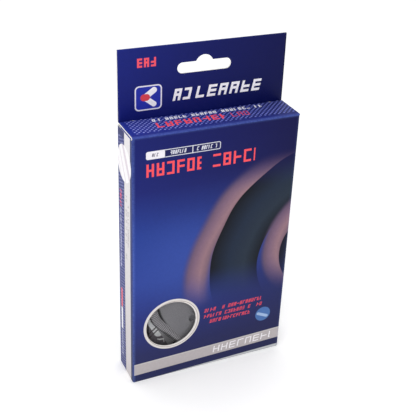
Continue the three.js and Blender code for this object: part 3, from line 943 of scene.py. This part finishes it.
def run_length(points):
    """The distance along a path to each of its points."""
    return np.concatenate([[0], np.cumsum(np.hypot(*np.diff(points, axis=0).T))])


def grid(*parts):
    """Coordinates that broadcast to one grid, stacked on its last axis."""
    return np.stack(np.broadcast_arrays(*parts), axis=-1)


def rounded(distance, radius):
    """A quarter circle's height at a distance from its start: 0 there, and the radius from its end on."""
    return np.sqrt(radius**2 - (radius - np.clip(distance, 0, radius)) ** 2)


def bulge(share):
    """A parabola that is 0 at both ends of a share from 0 to 1, and 1 in its middle."""
    return 4 * share * (1 - share)


def power(value, exponent):
    """A power that keeps the sign of its base."""
    return np.sign(value) * np.abs(value) ** exponent


def bell(distance, width):
    """A bell curve: 1 at no distance, and 1/e at the width."""
    return np.exp(-((distance / width) ** 2))


# Shapes of the carton


def slot_outline():
    """The hook slot: a bar with round ends and a low arch over its middle, in X and Z."""
    middle = TAB_TOP - SLOT_BELOW_TOP
    end = SLOT_BAR_HEIGHT / 2
    reach = SLOT_WIDTH / 2 - end
    arch = middle + end + SLOT_BUMP_RISE - SLOT_BUMP_RADIUS
    lift = math.degrees(math.asin((middle + end - arch) / SLOT_BUMP_RADIUS))
    right_end = arc((reach, middle), end, -90, 90, 20)
    bump = arc((0, arch), SLOT_BUMP_RADIUS, lift, 180 - lift, 24)
    left_end = arc((-reach, middle), end, 90, 270, 20)
    return np.concatenate([right_end, bump, left_end])


def sleeve_walls(crease, bow):
    """The side, front and side walls as one surface: an outline round the creases, carried up from the
    base. The front wall bows out as the product of a parabola across it and a sine up it, and the side
    walls by a share of that."""
    side_steps, front_steps, crease_steps = 10, 46, 7
    foot_steps, wall_steps, foot_end = 5, 60, 0.012
    front_fullness, side_fullness = 1.2, 0.7
    left, right, front, back = LEFT + crease, RIGHT - crease, FRONT + crease, BACK - crease
    outline = path(
        arc((left, back), crease, 90, 180, crease_steps),
        np.linspace((LEFT, back), (LEFT, front), side_steps),
        arc((left, front), crease, 180, 270, crease_steps),
        np.linspace((left, FRONT), (right, FRONT), front_steps),
        arc((right, front), crease, 270, 360, crease_steps),
        np.linspace((RIGHT, front), (RIGHT, back), side_steps),
        arc((right, back), crease, 0, 90, crease_steps),
    )
    x, y = outline.T
    foot = FOOT_PER_CREASE * crease
    curved = foot * (1 - np.cos(np.linspace(0, np.pi / 2, foot_steps))) / LID_TOP
    rise = np.concatenate([curved, np.linspace(foot_end, 1, wall_steps)])[:, None]
    toward_front = np.clip((front - y) / crease, 0, 1)
    top = SIDE_WALL_TOP + (FRONT_WALL_TOP - SIDE_WALL_TOP) * toward_front
    z = BASE + rise * (top - BASE)
    inset = foot - rounded(z - BASE, foot)
    up = np.sin(np.pi * np.clip(z / LID_TOP, 0, 1))
    across, along = np.clip((x - LEFT) / WIDTH, 0, 1), np.clip((y - FRONT) / DEPTH, 0, 1)
    front_bow = bow * toward_front**3 * bulge(across) * up**front_fullness
    side_bow = SIDE_BOW * bow * (1 - toward_front) * bulge(along) * up**side_fullness
    side_bow = np.sign(x) * side_bow * (np.abs(x) > WIDTH / 2 - crease)
    points = grid(x * (1 - inset / (WIDTH / 2)) + side_bow, y * (1 - inset / (DEPTH / 2)) - front_bow, z)
    middles = (outline[:-1] + outline[1:]) / 2
    on_front = (middles[:, 0] - LEFT + middles[:, 1] - FRONT > 0) & (middles[:, 1] < FRONT + 0.3 * crease)
    return {"points": points, "slot": np.tile(np.where(on_front, 0, 1), len(points) - 1)}


def back_and_tab(crease, bow):
    """The back wall, the hang tab and its folded ply: a path up the back, over the fold and down the
    front of the tab, carried across the carton. The tab curls back as the square of its height."""
    fold = BOARD
    near, crown, join = BACK - 2 * fold, TAB_TOP - fold, LID_TOP - 0.2
    rear = path(
        np.linspace((BACK, BASE), (BACK, SIDE_WALL_TOP), 50),
        np.linspace((BACK, SIDE_WALL_TOP), (BACK, join), 4),
        np.linspace((BACK, join), (BACK, crown), 24),
        arc((BACK - fold, crown), fold, 0, 180, 9),
        np.linspace((near, crown), (near, join), 24),
        np.linspace((near, join), (near, LID_UNDERSIDE - TAB_PLY_BELOW_LID), 12),
    )
    y, z = rear.T[..., None]
    across = np.linspace(1, -1, 60)
    half = np.where(z < LID_TOP - 0.5, WIDTH / 2 - crease, WIDTH / 2)
    foot = FOOT_PER_CREASE * crease
    inset = foot - rounded(z - BASE, foot)
    curl = TAB_CURL * bow * np.clip((z - LID_TOP) / (TAB_TOP - LID_TOP), 0, 1) ** 2
    belly = BACK_BOW * bow * np.sin(np.pi * np.clip(z / LID_TOP, 0, 1)) * (y > BACK - 0.5 * BOARD)
    return {"points": grid(across * half, y - inset + curl + belly * (1 - across**2), z)}


def sleeve_floor(crease):
    """The floor: a flat rectangle inside the rounded feet of the walls."""
    foot = FOOT_PER_CREASE * crease
    x = np.linspace(LEFT + foot, RIGHT - foot, 20)
    y = np.linspace(BACK - foot, FRONT + foot, 8)[:, None]
    return {"points": grid(x, y, BASE)}


def lid_surface(crease, bow):
    """The lid: a path up from the front wall's top, round the crease and back to the tuck flap, carried
    across. It crowns as a sine from front to back times a parabola across."""
    rear = 0.5 * crease
    start = min(FRONT_WALL_TOP + EDGE_GAP, LID_TOP - crease)
    profile = path(
        np.linspace((FRONT, start), (FRONT, LID_TOP - crease), 3),
        arc((FRONT + crease, LID_TOP - crease), crease, 180, 90, 7),
        np.linspace((FRONT + crease, LID_TOP), (LID_REAR - rear, LID_TOP), 12),
        arc((LID_REAR - rear, LID_TOP - rear), rear, 90, 20, 5),
    )
    y, z = profile.T[..., None]
    x = np.linspace(LEFT + EDGE_GAP, RIGHT - EDGE_GAP, 60)
    depth = np.clip((y - FRONT) / (LID_REAR - FRONT), 0, 1)
    crown = SIDE_BOW * bow * np.sin(np.pi * depth) * bulge((x - LEFT) / WIDTH) ** 0.6
    return {"points": grid(x, y, z + crown)}


def tuck_surface():
    """The tuck flap: a path down and forward from the lid's rear crease. Its width follows a quarter
    circle at the lower corners."""
    corner, straight, curved = 5, 0.55, 0.45
    top = TUCK_HIGH[1:]
    foot = TUCK_LOW[1:] + (BOARD, 0)
    length = np.linalg.norm(foot - top)
    round_end = 1 - curved * np.cos(np.linspace(0, np.pi / 2, 12))
    share = path(np.linspace(0, straight, 8), round_end)[:, None]
    half = TUCK_HIGH[0] - corner + rounded(length * (1 - share), corner)
    y, z = (top + share * (foot - top)).T[..., None]
    return {"points": grid(np.linspace(-1, 1, 50) * half, y, z)}


def dust_surface(side, crease):
    """A dust flap: a path up from the side wall, round the crease and inward. Its front edge slants
    back from the crease and its rear edge is straight, with a small slant at the tip."""
    outer, tip, height = WIDTH / 2, -DUST_HIGH[0], DUST_HIGH[2]
    front_rest, front_tip = FRONT + 1.4, FRONT + 12.4
    rear_rest, rear_tip = DUST_HIGH[1], DUST_HIGH[1] - 2.5
    slant = 0.14
    bend = 0.6 * crease
    profile = path(
        np.linspace((outer, SIDE_WALL_TOP + EDGE_GAP), (outer, height - bend), 3),
        arc((outer - bend, height - bend), bend, 0, 90, 6),
        np.linspace((outer - bend, height), (tip, height), 16),
    )
    x, z = profile.T[..., None]
    share = np.clip((outer - bend - x) / (outer - bend - tip), 0, 1)
    front = front_rest + (front_tip - front_rest) * share
    rear = rear_rest + (rear_tip - rear_rest) * np.clip((share - 1 + slant) / slant, 0, 1)
    y = front + (rear - front) * np.linspace(0, 1, 14)[::side]
    return {"points": grid(side * x, y, z)}


# Shapes of the brace


def free_edge_curve():
    """The free edge as X and Z, with its unit normal towards the cloth."""
    low, high = WRAP_LOW[[0, 2]], WRAP_HIGH[[0, 2]]
    curve = low + through(FREE_EDGE, 14) * (high - low)
    along = np.gradient(curve, axis=0)
    along /= np.linalg.norm(along, axis=1)[:, None]
    return curve, np.stack([-along[:, 1], along[:, 0]], axis=1)


def cloth_wave(x, z):
    """How far back the wrap's front layer lies, and how deep its crease is, from 0 to 1: long low
    waves, a swell behind the window, a pucker round the vent, and a crease beside the binding that
    fades towards the base. The crease follows the distance to the nearest point of the free edge."""
    waves = sum(depth * np.sin(math.tau * (in_x * x + in_z * z)) for depth, in_x, in_z in WAVES)
    from_middle = np.hypot(x - WINDOW_X - SWELL_RIGHT, z - WINDOW_Z - SWELL_UP)
    swell = SWELL_DEPTH * bell(from_middle, SWELL_BREADTH)
    curve, _ = free_edge_curve()
    away = np.hypot(x[..., None] - curve[:, 0], z[..., None] - curve[:, 1]).min(axis=-1)
    fade = np.clip((z - CREASE_FOOT) / CREASE_FADE, CREASE_FAINT, 1) ** 1.5
    crease = bell(away - BINDING_WIDTH - CREASE_AWAY, CREASE_BREADTH) * fade
    from_vent = np.hypot(x - VENT_X, z - VENT_Z) - VENT_RADIUS
    pucker = PUCKER_DEPTH * bell(from_vent - PUCKER_AWAY, PUCKER_BREADTH)
    return waves - swell - pucker + crease, crease


def wrap_shell():
    """The folded wrap: for each height, a centreline through the front layer, the right fold, the back
    layer, the left fold and the middle layer, thickened to both sides and rounded at its ends and at
    top and bottom. Gives the surface, and the size and area of the sheet laid flat."""
    half = NEOPRENE / 2
    low, high = WRAP_LOW[2], WRAP_HIGH[2]
    ease = np.sin(np.linspace(-np.pi / 2, np.pi / 2, 9)) * 0.5 + 0.5
    straight = np.linspace(low + half, high - half, 90)[1:-1]
    z = np.concatenate([low + half * ease, straight, high - half + half * ease])
    curve, _ = free_edge_curve()
    edge = (np.interp(z, curve[::-1, 1], curve[::-1, 0]) + half)[:, None]
    right_y, right_r = (FRONT_LAYER + BACK_LAYER) / 2, (BACK_LAYER - FRONT_LAYER) / 2
    left_y, left_r = (MIDDLE_LAYER + BACK_LAYER) / 2, (BACK_LAYER - MIDDLE_LAYER) / 2
    right_x = WRAP_HIGH[0] - right_r - half
    left_x = WRAP_LOW[0] + left_r + half
    flap_end = WRAP_LOW[0] + INNER_FLAP_SHARE * (WRAP_HIGH[0] - WRAP_LOW[0]) - NEOPRENE
    rest = path(
        arc((right_x, right_y), right_r, -90, 90, 20),
        np.linspace((right_x, BACK_LAYER), (left_x, BACK_LAYER), 40),
        arc((left_x, left_y), left_r, 90, 270, 16),
        np.linspace((left_x, MIDDLE_LAYER), (flap_end, MIDDLE_LAYER), 40),
    )
    front_x = edge + np.linspace(0, 1, 60, endpoint=False) * (right_x - edge)
    front = grid(front_x, FRONT_LAYER)
    centre = np.concatenate([front, np.broadcast_to(rest, (len(z), *rest.shape))], axis=1)
    step = np.gradient(centre, axis=1)
    size = np.hypot(step[..., 0], step[..., 1])
    tangent = step / size[..., None]
    normal = np.stack([tangent[..., 1], -tangent[..., 0]], axis=-1)
    x, y = centre[..., 0], centre[..., 1]
    fade_length, pinch_share = 20, 0.6
    fade = np.clip((right_x - x) / fade_length, 0, 1) * (y < FRONT_LAYER + 0.1)
    wave, crease = cloth_wave(x, np.broadcast_to(z[:, None], x.shape))
    centre = grid(x, y + fade * wave)
    pinch = 1 - pinch_share * (fade * crease)[..., None]
    thick = rounded(np.minimum(z - low, high - z), half)[:, None, None]
    turn = np.linspace(0, np.pi, 8)[1:-1][None, :, None]
    outer = centre + thick * pinch * normal
    inner = centre - thick * normal
    length = np.concatenate([np.zeros((len(z), 1)), np.cumsum(size, axis=1)[:, 1:]], axis=1)
    section, u = [], []
    for face, end, way in ((outer, slice(-1, None), 1), (inner, slice(0, 1), -1)):
        cap = np.cos(turn) * normal[:, end] + np.sin(turn) * tangent[:, end]
        section += [face[:, ::way], centre[:, end] + way * thick * cap]
        u += [length[:, ::way], np.repeat(length[:, end], turn.shape[1], axis=1)]
    x, y = np.moveaxis(np.concatenate(section, axis=1), -1, 0)
    uv = grid(np.concatenate(u, axis=1), z[:, None])
    surface = {"points": grid(x, y, z[:, None]), "uv": uv, "closed": True}
    flat = (float(length[:, -1].max()), float(high - low))
    return surface, flat, float(length[:, -1].mean() * (high - low))


def binding_channel():
    """The binding tape: a channel-shaped profile, sewn in near its inner edge, carried along the free
    edge. Towards the base its inner edge sinks into the cloth."""
    curve, normal = free_edge_curve()
    clearance, puff_height = 0.08, 0.35
    stitch_inset, stitch_depth, stitch_breadth = 1.0, 0.3, 0.3
    outside = NEOPRENE / 2 + clearance + BINDING_THICKNESS
    n = np.linspace(BINDING_WIDTH, 0, 18)
    sewn = stitch_depth * bell(n - BINDING_WIDTH + stitch_inset, stitch_breadth)
    puff = puff_height * np.sin(np.pi * n / BINDING_WIDTH) - sewn
    front_leg = np.stack([n, -(outside + puff)], axis=1)
    turn = np.linspace(0, np.pi, 12)[1:-1]
    nose = np.stack([-(BINDING_THICKNESS + SEAT_GAP) * np.sin(turn), -outside * np.cos(turn)], axis=1)
    back_leg = grid(n[::-1], outside)
    outer = np.concatenate([front_leg, nose, back_leg])
    narrowed = np.where(outer[:, 0] < 0, outer[:, 0] * 0.4, outer[:, 0])
    inner = np.stack([narrowed, outer[:, 1] * (1 - BINDING_THICKNESS / outside)], axis=1)
    profile = np.concatenate([outer, inner[::-1]])
    inward, depth = profile.T
    x = curve[:, :1] + normal[:, :1] * inward
    z = curve[:, 1:] + normal[:, 1:] * inward
    sink_depth, sink_breadth = 0.75, 1.3
    low = 1 - np.clip((z - CREASE_FOOT) / CREASE_FADE, 0, 1)
    sunk = sink_depth * low * bell(BINDING_WIDTH - inward, sink_breadth)
    y = FRONT_LAYER + depth + cloth_wave(x, z)[0] + sunk * (depth < 0)
    points = grid(x, y, np.clip(z, WRAP_LOW[2], WRAP_HIGH[2]))
    uv = grid(run_length(profile), run_length(curve)[:, None])
    inside = (curve[:, 1] > WRAP_LOW[2] - 3) & (curve[:, 1] < WRAP_HIGH[2] + 3)
    return {"points": points[inside], "uv": uv[inside], "closed": True, "capped": True}


def strap_slab(name):
    """A strap: a flat oval section carried along its length. Its width follows a circle at both ends, its
    thickness closes there, and two slanting sewn lines cross it above the pull end, whose free side curls
    forward."""
    low, high = corners(name)
    lean = math.radians(STRAPS[name]["lean"])
    length = STRAP_LENGTH + STRAP_TAIL
    tip, fine_part, far_part = STRAP_THICKNESS / 2, 20, 10
    v = tip * (1 - np.cos(np.linspace(0, np.pi / 2, 6)))
    v = path(v, np.linspace(tip, fine_part, 50))
    far_end = length - v[v < far_part][::-1]
    v = path(v, np.linspace(fine_part, length - far_part, 30))
    v = np.concatenate([v, far_end])[:, None]
    from_end = np.minimum(v, length - v)
    v = v - STRAP_TAIL
    half = STRAP_WIDTH / 2 - STRAP_END_RADIUS + rounded(from_end, STRAP_END_RADIUS)
    thick = rounded(from_end, STRAP_THICKNESS / 2)
    turn = np.linspace(0, math.tau, 64, endpoint=False)
    oval, stitch_breadth, stitch_share = 0.4, 0.5, 0.5
    flat, deep = power(np.cos(turn), oval), power(np.sin(turn), oval)
    across = half * flat
    sewn = sum(bell(v - SEAM_SLOPE * across - seam, stitch_breadth) for seam in SEAMS)
    curl = CURL_DEPTH * np.clip(1 - v / CURL_LENGTH, 0, 1) ** 2 * np.clip(-flat, 0, 1) ** 1.5
    x = STRAPS[name]["x"] + across * math.cos(lean) - v * math.sin(lean)
    y = (low[1] + high[1]) / 2 + thick * (1 - stitch_share * sewn) * deep - curl
    z = low[2] + across * math.sin(lean) + v * math.cos(lean)
    z = z - z.min() + low[2] - STRAP_TAIL
    return {"points": grid(x, y, z), "uv": grid(across, v), "closed": True}


def patch_slab(name):
    """A loop patch: a superellipsoid, near a rectangle in plan and nearly flat through its thickness."""
    low, high = corners(name)
    around = np.linspace(0, math.tau, 72, endpoint=False)
    up = np.linspace(-np.pi / 2, np.pi / 2, 28)[:, None]
    plan, side = 0.22, 0.4
    reach = power(np.cos(up), side)
    across, upward = power(np.cos(around), plan), power(np.sin(around), plan)
    unit = grid(reach * across, power(np.sin(up), side), reach * upward)
    return {"points": (high + low) / 2 + (high - low) / 2 * unit, "closed": True}


# Settings


class CartonSettings(bpy.types.PropertyGroup):
    """Sizes of the folded board."""

    crease: bpy.props.FloatProperty(
        name="Crease radius",
        description="Outer radius of the board at its vertical creases",
        default=0.9 * MM,
        unit="LENGTH",
    )
    bow: bpy.props.FloatProperty(
        name="Bow",
        description="How far the packed brace pushes the front panel out",
        default=0.8 * MM,
        unit="LENGTH",
    )


class BraceSettings(bpy.types.PropertyGroup):
    """Colours of the wrap and what is sewn to it."""

    jersey: bpy.props.StringProperty(
        name="Jersey",
        description="Darker colour of the wrap's jersey, as sRGB hex",
        default="#626166",
    )
    jersey_light: bpy.props.StringProperty(
        name="Jersey highlight",
        description="Lighter colour of the wrap's jersey, as sRGB hex",
        default="#78777c",
    )
    tape: bpy.props.StringProperty(
        name="Binding tape",
        description="Darker colour of the binding tape, as sRGB hex",
        default="#3f3d41",
    )
    tape_light: bpy.props.StringProperty(
        name="Binding highlight",
        description="Lighter colour of the binding tape, as sRGB hex",
        default="#8c8a8e",
    )


class StageSettings(bpy.types.PropertyGroup):
    """The camera's place and lens."""

    azimuth: bpy.props.FloatProperty(
        name="Azimuth",
        description="Direction of view: 0 looks along +Y",
        default=math.radians(-25.44),
        subtype="ANGLE",
    )
    elevation: bpy.props.FloatProperty(
        name="Elevation",
        description="Height of the camera over the horizon",
        default=math.radians(29.11),
        subtype="ANGLE",
    )
    roll: bpy.props.FloatProperty(
        name="Roll",
        description="Turn of the camera about its axis",
        default=math.radians(2.58),
        subtype="ANGLE",
    )
    distance: bpy.props.FloatProperty(
        name="Distance",
        description="From the camera to its target",
        default=497 * MM,
        unit="LENGTH",
    )
    target: bpy.props.FloatVectorProperty(
        name="Target",
        description="The point that the camera looks at",
        default=(0.9 * MM, 0, 106.7 * MM),
    )
    lens: bpy.props.FloatProperty(
        name="Lens",
        description="Focal length in millimetres on a 36 mm sensor",
        default=73.7,
    )


# Operators


def dress(item, body, slot, *nodes):
    """Rides a finished piece on its body, and hides the CAD nodes that it stands for."""
    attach(item, body)
    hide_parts(*nodes)
    return item


class BOXED_OT_sleeve(bpy.types.Operator):
    """Makes the carton's walls, floor and hang tab"""

    bl_idname = "boxed.sleeve"
    bl_label = "Sleeve and hang tab"

    def execute(self, context):
        settings = context.scene.boxed_carton
        crease, bow = settings.crease / MM, settings.bow / MM
        raw, print_on_side = raw_board(), side_print()
        rim = circle((WINDOW_X, WINDOW_Z), WINDOW_RADIUS, 96)
        window = prism("window_die", rim, FRONT - CUT_REACH, FRONT + CUT_REACH, raw)
        slot = prism("slot_die", slot_outline(), BACK - CUT_REACH, BACK + CUT_REACH, raw)
        walls = build("sleeve_walls", sleeve_walls(crease, bow), [front_print(), print_on_side, raw])
        back = build("sleeve_back", back_and_tab(crease, bow), [tab_print(), raw])
        floor = build("sleeve_floor", sleeve_floor(crease), [print_on_side, raw])
        front_rim = ((LEFT, FRONT - 2, FRONT_WALL_TOP - 0.2), (RIGHT, FRONT + RIM_DEPTH, FRONT_WALL_TOP + 1))
        for item, dies in ((walls, [window]), (back, [slot]), (floor, [])):
            make_board(item, dies)
            print_rims(item, 0, *front_rim)
            dress(item, "carton", "printed_board", "carton_sleeve")
        return {"FINISHED"}


class BOXED_OT_lid(bpy.types.Operator):
    """Makes the lid, its tuck flap and the two dust flaps"""

    bl_idname = "boxed.lid"
    bl_label = "Lid and flaps"

    def execute(self, context):
        settings = context.scene.boxed_carton
        crease, bow = settings.crease / MM, settings.bow / MM
        raw, print_on_lid, print_on_flap = raw_board(), lid_print(), flap_print()
        lid = build("lid_board", lid_surface(crease, bow), [print_on_lid, raw])
        make_board(lid, thickness=BOARD + LID_SWELL)
        rim_low = (LEFT + SEAT_GAP, FRONT - 2, LID_UNDERSIDE - 1)
        rim_high = (RIGHT - SEAT_GAP, FRONT + RIM_DEPTH, LID_UNDERSIDE)
        print_rims(lid, 0, rim_low, rim_high)
        dress(lid, "lid", "printed_board", "carton_lid")
        tuck = make_board(build("tuck_board", tuck_surface(), [print_on_flap, raw]))
        dress(tuck, "tuck", "printed_board", "tuck_flap")
        for side, name in ((-1, "left"), (1, "right")):
            flap = make_board(build("dust_board_" + name, dust_surface(side, crease), [print_on_flap, raw]))
            dress(flap, "dust_" + name, "printed_board", "dust_flap_" + name)
        return {"FINISHED"}


class BOXED_OT_wrap(bpy.types.Operator):
    """Makes the folded neoprene wrap, with its vent hole, once what is sewn to it is there"""

    bl_idname = "boxed.wrap"
    bl_label = "Neoprene wrap"

    def execute(self, context):
        settings = context.scene.boxed_brace
        jersey = knitted("Nylon jersey on neoprene", settings.jersey, settings.jersey_light, pitch=0.9)
        shell, flat, area = wrap_shell()
        wrap = build("wrap_cloth", shell, [jersey])
        vent = circle((VENT_X, VENT_Z), VENT_RADIUS, 48)
        die = prism("vent_die", vent, FRONT, FRONT_LAYER - VENT_FLOOR, neoprene_foam())
        cut(wrap, die)
        settle(wrap, [die])
        dress(wrap, "carton", "neoprene_jersey", "brace_wrap")
        return {"FINISHED"}


class BOXED_OT_binding(bpy.types.Operator):
    """Makes the tape sewn over the wrap's free edge"""

    bl_idname = "boxed.binding"
    bl_label = "Edge binding"

    def execute(self, context):
        settings = context.scene.boxed_brace
        tape = ribbed_tape("Ribbed binding tape", settings.tape, settings.tape_light, pitch=1.35)
        binding = build("binding_tape", binding_channel(), [tape])
        dress(binding, "carton", "binding_tape", "brace_binding")
        return {"FINISHED"}


class BOXED_OT_straps(bpy.types.Operator):
    """Makes the two hook straps"""

    bl_idname = "boxed.straps"
    bl_label = "Hook straps"

    def execute(self, context):
        tape = hook_tape()
        for node in STRAPS:
            strap = build(node.replace("brace_", ""), strap_slab(node), [tape])
            dress(strap, "carton", "hook_tape", node)
        return {"FINISHED"}


class BOXED_OT_patches(bpy.types.Operator):
    """Makes the two loop patches on the wrap's outer side"""

    bl_idname = "boxed.patches"
    bl_label = "Loop patches"

    def execute(self, context):
        pile = loop_pile()
        for place in ("upper", "lower"):
            node = "loop_patch_" + place
            patch = build("pile_patch_" + place, patch_slab(node), [pile])
            dress(patch, "carton", "loop_pile", node)
        return {"FINISHED"}


class BOXED_OT_stage(bpy.types.Operator):
    """Makes the camera, the floor and the soft studio lights"""

    bl_idname = "boxed.stage"
    bl_label = "Camera, floor and lights"

    def execute(self, context):
        self.place_camera(context, context.scene.boxed_stage)
        self.lay_floor()
        self.hang_lights(context)
        return {"FINISHED"}

    def place_camera(self, context, settings):
        """Aims the camera at its target: back is the way from there to the camera, and roll turns the
        other two axes about it."""
        sensor_width, near_clip = 36, 0.01
        flat = math.cos(settings.elevation)
        side, ahead = math.sin(settings.azimuth) * flat, -math.cos(settings.azimuth) * flat
        back = Vector((side, ahead, math.sin(settings.elevation)))
        right = (-back).cross(Vector((0, 0, 1))).normalized()
        up = right.cross(-back)
        turned_right = right * math.cos(settings.roll) + up * math.sin(settings.roll)
        turned_up = up * math.cos(settings.roll) - right * math.sin(settings.roll)
        camera = bpy.data.objects.new("camera", bpy.data.cameras.new("camera"))
        camera.data.lens = settings.lens
        camera.data.sensor_width = sensor_width
        camera.data.clip_start = near_clip
        turn = Matrix((turned_right, turned_up, back)).transposed().to_4x4()
        place = Vector(settings.target) + back * settings.distance
        camera.matrix_world = Matrix.Translation(place) @ turn
        context.scene.collection.objects.link(camera)
        context.scene.camera = camera

    def lay_floor(self):
        """Lays a wide white floor just under the carton. It glows faintly, as a lit sweep that burns
        out does."""
        reach, glow = 2500, 0.12
        material, add, place = new_material("Matt white paper sweep")
        tone = add("TexNoise", place, sockets={"Scale": 0.01, "Detail": 2.0})
        colour = add("ValToRGB", tone, stops=((0.3, "#fcfcfc"), (0.7, "#ffffff")))
        finish_material(add, colour, 0.9, Emission_Color="#ffffff", Emission_Strength=glow)
        across = np.linspace(-reach, reach, 5)
        points = grid(across, across[:, None], BASE - EDGE_GAP)
        build("studio_floor", {"points": points}, [material])

    def hang_lights(self, context):
        """Hangs three soft lights, each with its place and size in metres and its power in watts, and
        lights the air evenly."""
        lights = (
            ("key_softbox", (-0.75, -0.75, 0.85), 0.8, 5),
            ("front_softbox", (0.35, -1.1, 0.5), 0.9, 1.2),
            ("top_softbox", (0.0, 0.3, 3.0), 2.4, 44),
        )
        aim = Vector((0, 0, 0.09))
        air_strength = 0.5
        for name, place, size, power in lights:
            light = bpy.data.lights.new(name, "AREA")
            light.size = size
            light.energy = power
            lamp = bpy.data.objects.new(name, light)
            lamp.location = place
            lamp.rotation_euler = (aim - Vector(place)).to_track_quat("-Z", "Y").to_euler()
            context.scene.collection.objects.link(lamp)
        world = bpy.data.worlds.new("studio_air")
        world.use_nodes = True
        background = world.node_tree.nodes["Background"]
        background.inputs["Color"].default_value = linear("#ffffff")
        background.inputs["Strength"].default_value = air_strength
        context.scene.world = world
        context.scene.view_settings.view_transform = "Standard"


SETTINGS = {"boxed_carton": CartonSettings, "boxed_brace": BraceSettings, "boxed_stage": StageSettings}
OPERATORS = (
    BOXED_OT_stage,
    BOXED_OT_sleeve,
    BOXED_OT_lid,
    BOXED_OT_binding,
    BOXED_OT_straps,
    BOXED_OT_patches,
    BOXED_OT_wrap,
)


class BOXED_PT_panel(bpy.types.Panel):
    """Lists the settings, and the operators in the order that they run"""

    bl_label = "Boxed Brace"
    bl_idname = "BOXED_PT_panel"
    bl_space_type = "VIEW_3D"
    bl_region_type = "UI"
    bl_category = "Boxed Brace"

    def draw(self, context):
        for name in SETTINGS:
            settings = getattr(context.scene, name)
            for key in settings.__annotations__:
                self.layout.prop(settings, key)
        for operator in OPERATORS:
            self.layout.operator(operator.bl_idname)


CLASSES = (*SETTINGS.values(), *OPERATORS, BOXED_PT_panel)


def register():
    """Registers the classes, and gives the scene its settings."""
    for item in CLASSES:
        bpy.utils.register_class(item)
    for name, group in SETTINGS.items():
        setattr(bpy.types.Scene, name, bpy.props.PointerProperty(type=group))


def unregister():
    """Takes back what register did, in the other order."""
    for name in SETTINGS:
        delattr(bpy.types.Scene, name)
    for item in reversed(CLASSES):
        bpy.utils.unregister_class(item)


def main():
    """Makes the stage and the pieces. The wrap comes last."""
    register()
    bpy.ops.boxed.stage()
    bpy.ops.boxed.sleeve()
    bpy.ops.boxed.lid()
    bpy.ops.boxed.binding()
    bpy.ops.boxed.straps()
    bpy.ops.boxed.patches()
    bpy.ops.boxed.wrap()


if __name__ == "__main__":
    main()
